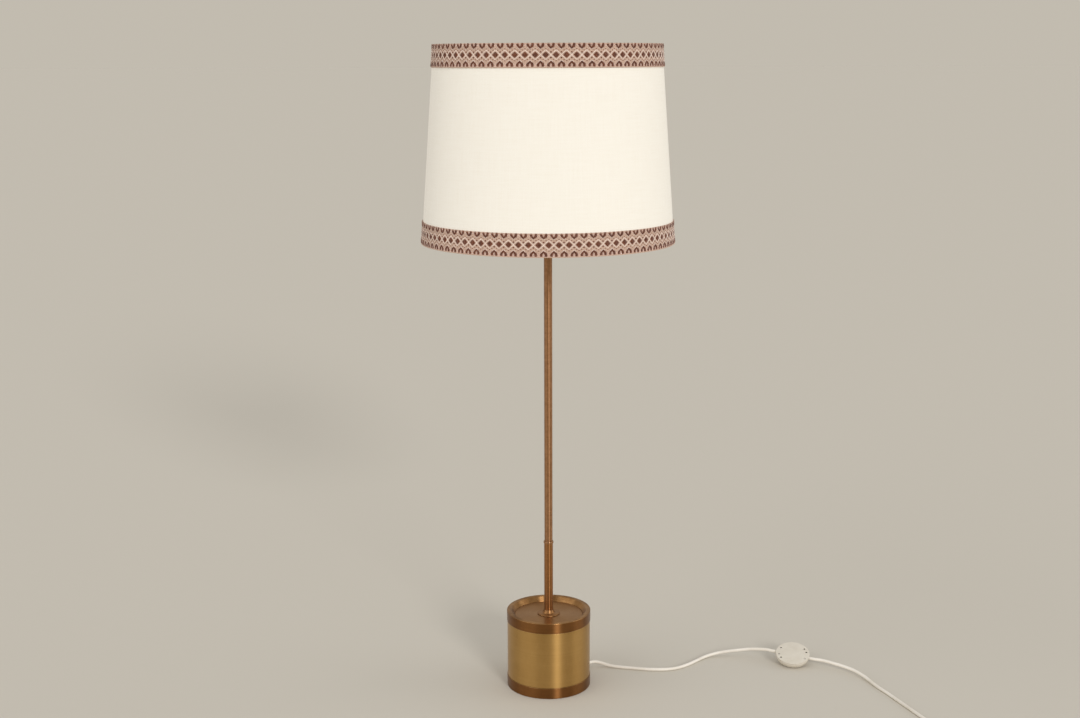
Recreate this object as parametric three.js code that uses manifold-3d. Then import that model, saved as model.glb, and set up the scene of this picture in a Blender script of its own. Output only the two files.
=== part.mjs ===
// Floor lamp: a drum base in bronzed brass, a telescopic stem, a cone shade edged with woven braid,
// and a white cord with a round foot switch that lies upside down on the floor.
// Millimetres, +Z up, +X to the right and +Y to the back. The origin is the middle of the underside.

import * as THREE from 'three';
import { mergeVertices } from 'three/addons/utils/BufferGeometryUtils.js';
import Module from 'manifold-3d';

const wasm = await Module();
wasm.setup();

// Fits and facets
const FIT = 0.3; // gap left between pieces that touch
const EDGE = 0.5; // broken edge on turned metal
const BASE_FACETS = 40;
const SHADE_FACETS = 56;
const STEM_FACETS = 16;
const SMALL_FACETS = 12;

// Base drum
const BASE_RADIUS = 78.4;
const BASE_TOP = 146.6;
const BOTTOM_RING_TOP = 20.6;
const SHELL_TOP = 127.2;
const SHELL_RADIUS = 77.6;
const SHELL_WALL = 1.2;
const RING_BORE = 73;
const SPIGOT_RADIUS = SHELL_RADIUS - SHELL_WALL - FIT;
const SPIGOT_DEPTH = 5.4;
const RIM_INNER = 70; // inner edge of the flat rim on top
const DISH_RADIUS = 63; // foot of the sloping wall inside the rim
const DISH_FLOOR = 138.5;
const LEDGE_RADIUS = 58.5; // the top plate rests on a ledge this wide open
const LEDGE_THICK = 2;
const TOP_PLATE_THICK = 2.2;
const FELT_RADIUS = 75.4;
const FELT_TOP = 2;
const PLATE_RADIUS = 75.5;
const PLATE_BOTTOM = FELT_TOP + FIT;
const PLATE_TOP = PLATE_BOTTOM + 3.3;

// Ballast and the sleeve's clamp
const BALLAST_RADIUS = 72.5;
const BALLAST_BOTTOM = PLATE_TOP + FIT;
const BALLAST_TOP = 64;
const WELL_RADIUS = 20; // room for the nut under the ballast
const WELL_TOP = 36;
const SHANK_RADIUS = 5; // M10 shank under the sleeve
const SHANK_BOTTOM = 25.2;
const WASHER_RADIUS = 16;
const WASHER_THICK = 2.2;
const SPACER_RADIUS = 11.5; // tube between the ballast and the top plate
const NUT_FLATS = 17;
const NUT_THICK = 6.6;
const SCREW_CIRCLE = 45;
const SCREW_AZIMUTHS = [100, 220, 340];
const SCREW_RADIUS = 2.4;
const SCREW_HEAD_RADIUS = 4.5;
const SCREW_TIP = 19;

// Stem
const SLEEVE_RADIUS = 8.2;
const SLEEVE_BORE = 7.65;
const SLEEVE_BOTTOM = 46.3;
const SLEEVE_TOP = 280.8; // over the collar
const COLLAR_RADIUS = 9.2;
const COLLAR_HEIGHT = 3.9;
const COLLAR_LIP = 1.3;
const PLUG_TOP = 58; // top of the plug in the sleeve's lower end
const TUBE_RADIUS = 7.5;
const TUBE_BORE = 6.8;
const TUBE_PLAY = 0.2; // inside the collar
const TUBE_TOP = 905;
const FOOT_FLANGE = 2.2;
const FOOT_PLAY = 0.25; // inside the sleeve
const RING_PLAY = 0.1; // of the friction ring inside the sleeve
const RING_SPLIT = 1.6;
const FOOT_NECK = 7;
const FOOT_NECK_RADIUS = 5.6;
const FOOT_SPIGOT = 8.5;
const FOOT_BOTTOM = PLUG_TOP + FIT;
const TUBE_BOTTOM = FOOT_BOTTOM + FOOT_FLANGE + FOOT_NECK + FIT;
const FLEX_BORE = 2.9;
const FLEX_RADIUS = 2.3;
const ROSETTE_RADIUS = 20.7;
const ROSETTE_RIM = 2; // height of its flat part
const ROSETTE_HUB_RADIUS = 12.6; // foot of the hub round the sleeve
const ROSETTE_HUB_LIP = 0.7;
const ROSETTE_HEIGHT = 8;

// Lamp holder, E27
const NIPPLE_FLANGE = 9;
const NIPPLE_TOP = 917;
const NIPPLE_BUSH = 12; // length inside the tube
const HOLDER_BOTTOM = 907.6;
const HOLDER_RADIUS = 19.6;
const HOLDER_WALL = 2;
const HOLDER_SEAM = 925;
const HOLDER_STRAIGHT = 5; // of the cap's wall under the seam
const HOLDER_TOP = 963;
const INSERT_BOTTOM = 921;
const INSERT_TOP = 934;
const SCREW_SHELL_RADIUS = 13.9;
const SCREW_SHELL_WALL = 0.5;
const SCREW_SHELL_TOP = 958;
const SCREW_SHELL_OPENING = 9;
const TONGUE_WIDTH = 5; // of the centre contact
const TONGUE_THICK = 0.5;
const SHADE_NUT_RADIUS = 27.2;
const SHADE_NUT_THICK = 4.8;
const SHADE_NUT_GRIPS = 20;
const SHADE_NUT_GRIP_DEPTH = 1.3;

// Bulb, A60 with an E27 cap
const BULB_CAP_RADIUS = 12.9;
const BULB_CAP_TOP = 962.3;
const BULB_TIP = INSERT_TOP + 3.6;
const BULB_TIP_HEIGHT = 2;
const BULB_CAP_FOOT = [[5.5, 0], [8.5, 2.4], [BULB_CAP_RADIUS - 1, 3], [BULB_CAP_RADIUS, 4.5]];
const BULB_RADIUS = 30;
const BULB_CENTRE = 1017;
const GLASS_WALL = 1;
const GLASS_NECK = 13.2;
const GLASS_OUTLINE = [ // radius, and height from the middle
  [14.6, -44], [20.5, -30], [27.8, -14], [BULB_RADIUS, 0], [25.6, 16], [14.4, 27], [0, BULB_RADIUS],
];

// Shade
const SHADE_BOTTOM = 841;
const SHADE_TOP = 1187;
const COVER_RADIUS_BOTTOM = 225;
const COVER_RADIUS_TOP = 200;
const COVER_WALL = 1;
const BAND_HEIGHT = 39.5;
const BAND_THICK = 1.8;
const BAND_ROUND = 0.7;
const WIRE_RADIUS = 1.8;
const WIRE_INSET = 3; // of the ring wires from the shade's edges
const WIRE_SLACK = 0.2; // more than the fit, for the cover's facets
const FITTER_BOTTOM = 935;
const FITTER_THICK = 3;
const FITTER_BORE = 20.3;
const FITTER_RADIUS = 27.5;
const ARM_AZIMUTHS = [90, 210, 330];
const ARM_START = [[12, -0.5], [26, -7]]; // out from the fitter, and up
const ARM_END = [[-26, 8], [-12, 1], [0, 0]]; // out from the wire ring, and up

// Cord
const CORD_RADIUS = 3;
const CORD_SIDES = 10;
const CORD_STEP = 15;
const EXIT_AZIMUTH = 40;
const EXIT_HEIGHT = 11.5;
const GROMMET_TIP = 103;
const GROMMET_RADIUS = 4.3; // where it passes through the bottom ring
const GROMMET_FLANGE = 5.2;
const GROMMET_FLANGE_THICK = 2;
const GROMMET_COLLAR_THICK = 1.6;
const GROMMET_SKIN = 0.6; // round the cord at the tip
const CHANNEL_WIDTH = 11.6;
const CHANNEL_TOP = 17.2;

// Foot switch, in its own frame: base plate up, cord along X
const SWITCH_CENTRE = [477, 85, 22.3];
const SWITCH_TILT = 17.9;
const SWITCH_ROLL = -2.2;
const SWITCH_YAW = -21;
const SWITCH_RADIUS = 32.5;
const SWITCH_PLATE = 1.5;
const SWITCH_DEPTH = 16.5;
const SWITCH_WALL = 2.1;
const SWITCH_MOUTH = 13; // round the button
// The bowl's corners: radius, height, and which way the inner wall is offset
const SWITCH_BOWL = [[19.5, -16.5, 0, 1], [25.5, -15, 0.6, 0.9], [30.3, -11, 1, 0.5]];
const SWITCH_RIM = 3; // height of the upright rim
const SWITCH_NOTCH = 0.5; // wider than the cord
const SWITCH_CORD_DEPTH = 4.8;
const SWITCH_CORD_END = 28.3; // how far from the middle the cord ends inside
const SWITCH_BLOCK_WIDTH = 20;
const SWITCH_BLOCK_BOTTOM = 8.6;
const SWITCH_HOLE_CIRCLE = 26.6;
const SWITCH_HOLE_RADIUS = 1.9;
const SWITCH_HOLE_ANGLES = [-20, 22, 44]; // from each cord entry
const BUTTON_RADIUS = 12.5;
const BUTTON_FLANGE = 14.5;
const BUTTON_OUT = 3; // how far it stands out, which is its travel
const BUTTON_BEVEL = 1.1;

// Coil of the cord's far length, two layers held by a strap
const COIL_CENTRE = [648.5, -251];
const COIL_INNER = 24.4;
const COIL_PITCH = 6.7;
const COIL_LOW = 4.1;
const COIL_LAYER = 6.7;
const COIL_WHOLE_TURNS = 7;
const COIL_START = 20;
const COIL_END = -90;
const COIL_STEPS = 24;
const COIL_SIDES = 6;
const COIL_TURNS = COIL_WHOLE_TURNS + (COIL_START - COIL_END) / 360;
const COIL_EASE = 0.1; // of a turn, where the spiral turns back
const COIL_TAIL = 42;
const COIL_TAIL_LEVEL = 10; // of the tail, before it comes down to the plug
const STRAP_WIDTH = 6;
const STRAP_THICK = 0.8;
const STRAP_ROUND = 2.4;
const STRAP_AZIMUTH = 150;
const STRAP_SLACK = 0.5;

// Two-pin plug
const PLUG_AXIS = 7.2;
const PLUG_RELIEF = 24;
const PLUG_LENGTH = 36;
const PLUG_WIDTH = 35;
const PLUG_NECK = 15;
const PLUG_THICK = 13.6;
const PLUG_ROUND = 1.6;
const PLUG_CORNER = 4;
const PIN_RADIUS = 2;
const PIN_LENGTH = 19;
const PIN_SPACING = 18.6;
const PIN_TIP = [0.7, 1]; // bevel across and along

// Finishes, by eye from the photograph
const FINISH = {
  bronze: { color: '#7d5a35', roughness: 0.32, metalness: 0.95 },
  brass: { color: '#a37c44', roughness: 0.28, metalness: 0.95 },
  satinBronze: { color: '#8a6a45', roughness: 0.5, metalness: 0.9 },
  copperBrass: { color: '#a97a50', roughness: 0.26, metalness: 0.95 },
  steel: { color: '#94979a', roughness: 0.45, metalness: 0.9 },
  iron: { color: '#3d3c3b', roughness: 0.8, metalness: 0.5 },
  felt: { color: '#2d2c2a', roughness: 1, metalness: 0 },
  whitePlastic: { color: '#e9e3d5', roughness: 0.45, metalness: 0 },
  cordPvc: { color: '#ece6d9', roughness: 0.5, metalness: 0 },
  nylon: { color: '#dcdad2', roughness: 0.55, metalness: 0 },
  porcelain: { color: '#f1efe9', roughness: 0.25, metalness: 0 },
  opalGlass: { color: '#f6f4ee', roughness: 0.2, metalness: 0 },
  linen: { color: '#f3ebdc', roughness: 0.95, metalness: 0 },
  braid: { color: '#cdb6a2', roughness: 0.95, metalness: 0 },
  coatedWire: { color: '#eeeae1', roughness: 0.4, metalness: 0.1 },
};

const radians = THREE.MathUtils.degToRad;
const CIRCLE_HANDLE = 0.5523; // of a Bezier quarter circle with a radius of one

// A mesh with a name and a material of its own.
function piece(name, finish, geometry) {
  const mesh = new THREE.Mesh(geometry, new THREE.MeshStandardMaterial(FINISH[finish]));
  mesh.name = name;
  return mesh;
}

function groupOf(...members) {
  const group = new THREE.Group();
  group.add(...members);
  return group;
}

// A piece turned about Z. The half profile is a list of [radius, height], outer wall going up. It
// starts and ends on the axis, or is closed here.
function turned(profile, facets) {
  const points = profile.map(([radius, height]) => new THREE.Vector2(radius, height));
  if (points[0].x > 0) {
    points.push(points[0].clone());
  }
  return new THREE.LatheGeometry(points, facets).rotateX(Math.PI / 2);
}

// A plain tube about Z.
function pipe(bore, radius, bottom, top, facets) {
  return turned([[bore, bottom], [radius, bottom], [radius, top], [bore, top]], facets);
}

// A plain round disc or rod about Z.
function disc(radius, bottom, top, facets) {
  return turned([[0, bottom], [radius, bottom], [radius, top], [0, top]], facets);
}

// A piece turned about Z is laid along +X.
function alongX(geometry) {
  return geometry.rotateY(Math.PI / 2);
}

function polygon(radius, sides, phase = 0) {
  const corner = (i) => phase + (i * 2 * Math.PI) / sides;
  const at = (angle) => new THREE.Vector2(radius * Math.cos(angle), radius * Math.sin(angle));
  return Array.from({ length: sides }, (_, i) => at(corner(i)));
}

// A flat piece of an outline with holes, from one height up by its thickness.
function slab(outline, holes, bottom, thickness) {
  const shape = new THREE.Shape(outline);
  shape.holes = holes.map((hole) => new THREE.Path(hole));
  const options = { depth: thickness, bevelEnabled: false };
  return new THREE.ExtrudeGeometry(shape, options).translate(0, 0, bottom);
}

// A round bar along a curve.
function bar(curve, radius, sides, steps) {
  const section = new THREE.Shape(polygon(radius, sides));
  return new THREE.ExtrudeGeometry(section, { steps, bevelEnabled: false, extrudePath: curve });
}

function ringPoint(radius, azimuth, height) {
  const angle = radians(azimuth);
  return new THREE.Vector3(radius * Math.cos(angle), radius * Math.sin(angle), height);
}

// Boolean joins and cuts
function toSolid(geometry) {
  const bare = geometry.clone();
  bare.deleteAttribute('normal');
  bare.deleteAttribute('uv');
  const merged = mergeVertices(bare);
  const index = merged.index.array;
  const kept = [];
  for (let i = 0; i < index.length; i += 3) {
    const [a, b, c] = index.slice(i, i + 3);
    if (a !== b && b !== c && c !== a) {
      kept.push(a, b, c);
    }
  }
  const vertProperties = new Float32Array(merged.attributes.position.array);
  const triVerts = new Uint32Array(kept);
  return new wasm.Manifold(new wasm.Mesh({ numProp: 3, vertProperties, triVerts }));
}

function toGeometry(solid) {
  const mesh = solid.getMesh();
  const geometry = new THREE.BufferGeometry();
  geometry.setAttribute('position', new THREE.BufferAttribute(mesh.vertProperties, 3));
  geometry.setIndex(new THREE.BufferAttribute(mesh.triVerts, 1));
  return geometry;
}

function cut(geometry, tools) {
  const body = tools.reduce((left, tool) => left.subtract(toSolid(tool)), toSolid(geometry));
  return toGeometry(body);
}

// A round hole along the cord's exit, through the walls between two distances from the axis.
function exitHole(radius, from, to) {
  const hole = disc(radius, from, to, SMALL_FACETS);
  return alongX(hole).rotateZ(radians(EXIT_AZIMUTH)).translate(0, 0, EXIT_HEIGHT);
}

// Base drum
function bottomRing() {
  const outer = BASE_RADIUS;
  const recess = PLATE_RADIUS + FIT;
  const ledge = PLATE_TOP + FIT;
  const spigotTop = BOTTOM_RING_TOP + SPIGOT_DEPTH;
  const ring = turned([
    [recess, EDGE], [outer - EDGE, EDGE], [outer, 2 * EDGE], [outer, BOTTOM_RING_TOP - EDGE],
    [outer - EDGE, BOTTOM_RING_TOP], [SPIGOT_RADIUS, BOTTOM_RING_TOP], [SPIGOT_RADIUS, spigotTop],
    [RING_BORE, spigotTop], [RING_BORE, ledge], [recess, ledge],
  ], BASE_FACETS);
  return cut(ring, [exitHole(GROMMET_RADIUS + FIT, RING_BORE - 3, BASE_RADIUS + 3)]);
}

function baseShell() {
  const bore = SHELL_RADIUS - SHELL_WALL;
  return pipe(bore, SHELL_RADIUS, BOTTOM_RING_TOP + FIT, SHELL_TOP - FIT, BASE_FACETS);
}

function topRing() {
  const outer = BASE_RADIUS;
  const wallFoot = DISH_RADIUS + FIT;
  const ledge = DISH_FLOOR - TOP_PLATE_THICK - FIT;
  const under = ledge - LEDGE_THICK;
  const spigotBottom = SHELL_TOP - SPIGOT_DEPTH;
  return turned([
    [LEDGE_RADIUS, under], [RING_BORE, under], [RING_BORE, spigotBottom], [SPIGOT_RADIUS, spigotBottom],
    [SPIGOT_RADIUS, SHELL_TOP], [outer - EDGE, SHELL_TOP], [outer, SHELL_TOP + EDGE],
    [outer, BASE_TOP - 2 * EDGE], [outer - 2 * EDGE, BASE_TOP], [RIM_INNER + EDGE, BASE_TOP],
    [RIM_INNER, BASE_TOP - EDGE], [wallFoot, DISH_FLOOR], [wallFoot, ledge], [LEDGE_RADIUS, ledge],
  ], BASE_FACETS);
}

function topPlate() {
  const bottom = DISH_FLOOR - TOP_PLATE_THICK;
  return pipe(SLEEVE_RADIUS + FIT, DISH_RADIUS, bottom, DISH_FLOOR, BASE_FACETS);
}

// A low disc with a hub that flares out from the sleeve.
function stemRosette() {
  const bore = SLEEVE_RADIUS + FIT;
  const bottom = DISH_FLOOR + FIT;
  const [rim, top] = [bottom + ROSETTE_RIM, bottom + ROSETTE_HEIGHT];
  const lip = bore + ROSETTE_HUB_LIP;
  const flare = (share) => [
    THREE.MathUtils.lerp(ROSETTE_HUB_RADIUS, lip, share),
    THREE.MathUtils.lerp(rim, top, share * share),
  ];
  return turned([
    [bore, bottom], [ROSETTE_RADIUS, bottom], [ROSETTE_RADIUS, rim - EDGE], [ROSETTE_RADIUS - EDGE, rim],
    ...[0, 0.5, 0.8, 1].map(flare), [bore, top],
  ], 2 * SMALL_FACETS);
}

// The countersunk screws share one outline; a hole is the same outline, a little larger.
function plateScrew(azimuth, slack) {
  const head = PLATE_BOTTOM + FIT - slack;
  const shank = SCREW_RADIUS + slack;
  const shoulder = head + SCREW_HEAD_RADIUS - SCREW_RADIUS;
  const tip = SCREW_TIP + slack;
  const outline = [
    [0, head], [SCREW_HEAD_RADIUS + slack, head], [shank, shoulder], [shank, tip], [0, tip],
  ];
  const { x, y } = ringPoint(SCREW_CIRCLE, azimuth, 0);
  return turned(outline, SMALL_FACETS).translate(x, y, 0);
}

function bottomPlate() {
  const plate = disc(PLATE_RADIUS, PLATE_BOTTOM, PLATE_TOP, BASE_FACETS);
  return cut(plate, SCREW_AZIMUTHS.map((azimuth) => plateScrew(azimuth, 2 * FIT)));
}

// A cast weight with a stepped bore, a well for the nut and a channel under it for the cord.
function ballastWeight() {
  const chamfer = 3;
  const bore = SLEEVE_RADIUS + FIT;
  const shankBore = SHANK_RADIUS + FIT;
  const seat = SLEEVE_BOTTOM - FIT;
  const body = turned([
    [WELL_RADIUS, BALLAST_BOTTOM], [BALLAST_RADIUS, BALLAST_BOTTOM],
    [BALLAST_RADIUS, BALLAST_TOP - chamfer], [BALLAST_RADIUS - chamfer, BALLAST_TOP], [bore, BALLAST_TOP],
    [bore, seat], [shankBore, seat], [shankBore, WELL_TOP], [WELL_RADIUS, WELL_TOP],
  ], BASE_FACETS);
  const reach = BALLAST_RADIUS;
  const channel = new THREE.BoxGeometry(reach, CHANNEL_WIDTH, 2 * CHANNEL_TOP);
  channel.translate(reach / 2 + WELL_RADIUS / 2, 0, 0).rotateZ(radians(EXIT_AZIMUTH));
  return cut(body, [channel, ...SCREW_AZIMUTHS.map((azimuth) => plateScrew(azimuth, FIT))]);
}

function clampNut() {
  const corner = NUT_FLATS / Math.sqrt(3);
  const top = WELL_TOP - 2 * FIT - WASHER_THICK;
  const hole = polygon(SHANK_RADIUS + FIT, STEM_FACETS);
  return slab(polygon(corner, 6), [hole], top - NUT_THICK, NUT_THICK);
}

// Stem
function stemSleeve() {
  return pipe(SLEEVE_BORE, SLEEVE_RADIUS, SLEEVE_BOTTOM, SLEEVE_TOP - COLLAR_LIP - FIT, STEM_FACETS);
}

// A ring that caps the sleeve's top and steadies the tube.
function sleeveCollar() {
  const bottom = SLEEVE_TOP - COLLAR_HEIGHT;
  const lip = SLEEVE_TOP - COLLAR_LIP;
  const outside = SLEEVE_RADIUS + FIT;
  const bore = TUBE_RADIUS + TUBE_PLAY;
  return turned([
    [outside, bottom], [COLLAR_RADIUS - EDGE, bottom], [COLLAR_RADIUS, bottom + EDGE],
    [COLLAR_RADIUS, SLEEVE_TOP - EDGE], [COLLAR_RADIUS - EDGE, SLEEVE_TOP], [bore, SLEEVE_TOP],
    [bore, lip], [outside, lip],
  ], STEM_FACETS);
}

// The plug soldered into the sleeve's lower end, with the threaded shank that clamps the base.
function sleevePlug() {
  const body = SLEEVE_BORE - FIT;
  return turned([
    [FLEX_BORE, SHANK_BOTTOM], [SHANK_RADIUS, SHANK_BOTTOM], [SHANK_RADIUS, SLEEVE_BOTTOM],
    [body, SLEEVE_BOTTOM], [body, PLUG_TOP], [FLEX_BORE, PLUG_TOP],
  ], STEM_FACETS);
}

// The foot of the sliding tube: a flange and neck that carry the friction ring.
function tubeFoot() {
  const flange = SLEEVE_BORE - FOOT_PLAY;
  const neckBottom = FOOT_BOTTOM + FOOT_FLANGE;
  const neckTop = neckBottom + FOOT_NECK;
  const spigot = TUBE_BORE - FIT;
  return turned([
    [FLEX_BORE, FOOT_BOTTOM], [flange, FOOT_BOTTOM], [flange, neckBottom],
    [FOOT_NECK_RADIUS, neckBottom], [FOOT_NECK_RADIUS, neckTop], [spigot, neckTop],
    [spigot, neckTop + FOOT_SPIGOT], [FLEX_BORE, neckTop + FOOT_SPIGOT],
  ], STEM_FACETS);
}

// A split nylon ring that rubs on the sleeve and holds the stem where it is set.
function frictionRing() {
  const bottom = FOOT_BOTTOM + FOOT_FLANGE + FIT;
  const top = bottom + FOOT_NECK - 2 * FIT;
  const ring = pipe(FOOT_NECK_RADIUS + FIT, SLEEVE_BORE - RING_PLAY, bottom, top, STEM_FACETS);
  const split = new THREE.BoxGeometry(2 * SLEEVE_BORE, RING_SPLIT, 2 * FOOT_NECK);
  return cut(ring, [split.translate(SLEEVE_BORE, 0, bottom)]);
}

// The inner flex from the cord's exit along the channel and up through the shank.
function baseFlex() {
  const bend = SHANK_BOTTOM - EXIT_HEIGHT;
  const handle = bend * CIRCLE_HANDLE;
  const start = RING_BORE - 3;
  const end = PLUG_TOP - FIT;
  const at = (radius, height) => ringPoint(radius, EXIT_AZIMUTH, height);
  const route = new THREE.CurvePath();
  const [low, high] = [at(bend, EXIT_HEIGHT), at(0, SHANK_BOTTOM)];
  const [lowHandle, highHandle] = [at(bend - handle, EXIT_HEIGHT), at(0, SHANK_BOTTOM - handle)];
  route.add(new THREE.LineCurve3(at(start, EXIT_HEIGHT), low));
  route.add(new THREE.CubicBezierCurve3(low, lowHandle, highHandle, high));
  route.add(new THREE.LineCurve3(high, at(0, end)));
  return bar(route, FLEX_RADIUS, 6, 22);
}

function stemFlex() {
  return disc(FLEX_RADIUS, FOOT_BOTTOM, INSERT_BOTTOM - FIT, 8);
}

// Lamp holder
function holderNipple() {
  const bush = TUBE_BORE - FIT;
  const seat = TUBE_TOP + FIT;
  const flangeTop = HOLDER_BOTTOM - FIT;
  return turned([
    [FLEX_BORE, seat - NIPPLE_BUSH], [bush, seat - NIPPLE_BUSH], [bush, seat], [NIPPLE_FLANGE, seat],
    [NIPPLE_FLANGE, flangeTop], [SHANK_RADIUS, flangeTop], [SHANK_RADIUS, NIPPLE_TOP],
    [FLEX_BORE, NIPPLE_TOP],
  ], STEM_FACETS);
}

// A domed cap: a quarter of an ellipse outside, and the same inside by the wall.
function holderCap() {
  const neck = NIPPLE_FLANGE;
  const rise = HOLDER_SEAM - HOLDER_BOTTOM - HOLDER_STRAIGHT;
  const dome = (inset) => [0, 1, 2, 3, 4].map((i) => {
    const angle = (i * Math.PI) / 8;
    const radius = neck + (HOLDER_RADIUS - neck) * Math.sin(angle) - inset;
    return [radius, HOLDER_BOTTOM + inset + rise * (1 - Math.cos(angle))];
  });
  const hole = SHANK_RADIUS + FIT;
  return turned([
    [hole, HOLDER_BOTTOM], ...dome(0), [HOLDER_RADIUS, HOLDER_SEAM],
    [HOLDER_RADIUS - HOLDER_WALL, HOLDER_SEAM], ...dome(HOLDER_WALL).reverse(),
    [hole, HOLDER_BOTTOM + HOLDER_WALL],
  ], STEM_FACETS);
}

function holderInsert() {
  const radius = HOLDER_RADIUS - HOLDER_WALL - FIT;
  const bevel = 2.2;
  return turned([
    [0, INSERT_BOTTOM], [radius - bevel, INSERT_BOTTOM], [radius, INSERT_BOTTOM + bevel],
    [radius, INSERT_TOP - bevel], [radius - bevel, INSERT_TOP], [0, INSERT_TOP],
  ], STEM_FACETS);
}

// The screw shell: a thin cup with an open floor, seated on the insert.
function screwShell() {
  const bottom = INSERT_TOP + FIT;
  const inner = SCREW_SHELL_RADIUS - SCREW_SHELL_WALL;
  const floor = bottom + SCREW_SHELL_WALL;
  return turned([
    [SCREW_SHELL_OPENING, bottom], [SCREW_SHELL_RADIUS, bottom], [SCREW_SHELL_RADIUS, SCREW_SHELL_TOP],
    [inner, SCREW_SHELL_TOP], [inner, floor], [SCREW_SHELL_OPENING, floor],
  ], STEM_FACETS);
}

// A springy brass tongue, bent up to the middle of the bulb's cap.
function centreContact() {
  const lift = BULB_TIP - INSERT_TOP - 2 * FIT - TONGUE_THICK;
  const under = [[-6.5, 0], [-3, 0], [-0.5, lift], [4, lift]];
  const over = under.map(([x, z]) => [x, z + TONGUE_THICK]).reverse();
  const outline = [...under, ...over].map(([x, z]) => new THREE.Vector2(x, z));
  const tongue = slab(outline, [], -TONGUE_WIDTH / 2, TONGUE_WIDTH);
  return tongue.rotateX(Math.PI / 2).translate(0, 0, INSERT_TOP + FIT);
}

// A ring nut with a scalloped edge to grip.
function shadeNut(bottom) {
  const points = SHADE_NUT_GRIPS * 4;
  const outline = polygon(1, points).map((unit, i) => {
    const wave = 0.5 - 0.5 * Math.cos((i * 2 * Math.PI * SHADE_NUT_GRIPS) / points);
    return unit.multiplyScalar(SHADE_NUT_RADIUS - SHADE_NUT_GRIP_DEPTH * wave);
  });
  return slab(outline, [polygon(HOLDER_RADIUS + FIT, STEM_FACETS)], bottom, SHADE_NUT_THICK);
}

// Bulb
function bulbGlass() {
  const neck = [GLASS_NECK, BULB_CAP_TOP + FIT - BULB_CENTRE];
  const knots = [neck, ...GLASS_OUTLINE].map(([x, y]) => new THREE.Vector2(x, BULB_CENTRE + y));
  const curve = new THREE.SplineCurve(knots).getPoints(10);
  const outline = curve.map(({ x, y }) => [Math.max(x, 0), y]);
  const shrink = 1 - GLASS_WALL / BULB_RADIUS;
  const inside = outline.map(([x, y]) => [x * shrink, BULB_CENTRE + (y - BULB_CENTRE) * shrink]);
  return turned([...inside.reverse(), ...outline], STEM_FACETS);
}

function bulbCap() {
  const bottom = BULB_TIP + BULB_TIP_HEIGHT;
  const foot = BULB_CAP_FOOT.map(([radius, up]) => [radius, bottom + up]);
  const rim = [[BULB_CAP_RADIUS, BULB_CAP_TOP], [0, BULB_CAP_TOP]];
  return turned([[0, bottom], ...foot, ...rim], STEM_FACETS);
}

function bulbContact() {
  const top = BULB_TIP + BULB_TIP_HEIGHT - FIT;
  return turned([[0, BULB_TIP], [3.2, BULB_TIP], [4.6, top], [0, top]], SMALL_FACETS);
}

// Shade
function coverRadius(height) {
  const share = (height - SHADE_BOTTOM) / (SHADE_TOP - SHADE_BOTTOM);
  return THREE.MathUtils.lerp(COVER_RADIUS_BOTTOM, COVER_RADIUS_TOP, share);
}

function shadeCover() {
  const [low, high] = [coverRadius(SHADE_BOTTOM), coverRadius(SHADE_TOP)];
  return turned([
    [low - COVER_WALL, SHADE_BOTTOM], [low, SHADE_BOTTOM], [high, SHADE_TOP],
    [high - COVER_WALL, SHADE_TOP],
  ], SHADE_FACETS);
}

// A woven band round the cover, with softly rounded edges.
function trimBand(bottom, top) {
  const wall = (height, inset) => [coverRadius(height) + FIT + BAND_THICK - inset, height];
  const back = (height) => [coverRadius(height) + FIT, height];
  return turned([
    back(bottom), wall(bottom, BAND_ROUND), wall(bottom + BAND_ROUND, 0), wall(top - BAND_ROUND, 0),
    wall(top, BAND_ROUND), back(top),
  ], SHADE_FACETS);
}

// A wire ring just inside the cover.
function ringRadius(height) {
  return coverRadius(height) - COVER_WALL - FIT - WIRE_RADIUS - WIRE_SLACK;
}

function wireRing(height) {
  const section = polygon(WIRE_RADIUS, 6).map(({ x, y }) => [ringRadius(height) + x, height + y]);
  return turned(section, SHADE_FACETS);
}

// A wire arm, level at the fitter and then down to the lower ring.
function spiderArm(azimuth) {
  const height = FITTER_BOTTOM + FITTER_THICK / 2;
  const ringHeight = SHADE_BOTTOM + WIRE_INSET;
  const end = ringRadius(ringHeight) - WIRE_RADIUS - FIT;
  const route = [
    [FITTER_RADIUS + FIT, height],
    ...ARM_START.map(([out, up]) => [FITTER_RADIUS + out, height + up]),
    ...ARM_END.map(([out, up]) => [end + out, ringHeight + up]),
  ];
  const curve = new THREE.CatmullRomCurve3(route.map(([radius, z]) => ringPoint(radius, azimuth, z)));
  return bar(curve, WIRE_RADIUS, 8, 14);
}

// Cord exit: a moulded strain relief with a flange inside the ring and a taper outside.
function cordGrommet() {
  const inside = RING_BORE - 2.7;
  const collar = BASE_RADIUS + FIT;
  const relief = turned([
    [0, inside], [GROMMET_FLANGE, inside], [GROMMET_FLANGE, inside + GROMMET_FLANGE_THICK],
    [GROMMET_RADIUS, inside + GROMMET_FLANGE_THICK], [GROMMET_RADIUS, collar], [GROMMET_FLANGE, collar],
    [GROMMET_FLANGE, collar + GROMMET_COLLAR_THICK], [CORD_RADIUS + GROMMET_SKIN, GROMMET_TIP],
    [0, GROMMET_TIP],
  ], SMALL_FACETS);
  return alongX(relief).rotateZ(radians(EXIT_AZIMUTH)).translate(0, 0, EXIT_HEIGHT);
}

// Foot switch
const switchPose = new THREE.Matrix4().compose(
  new THREE.Vector3(...SWITCH_CENTRE),
  new THREE.Quaternion().setFromEuler(
    new THREE.Euler(radians(SWITCH_TILT), radians(SWITCH_ROLL), radians(SWITCH_YAW), 'YXZ'),
  ),
  new THREE.Vector3(1, 1, 1),
);

// A point on the cord's line through the switch, in the lamp's frame.
function switchPoint(along) {
  return new THREE.Vector3(along, 0, -SWITCH_CORD_DEPTH).applyMatrix4(switchPose);
}

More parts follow.
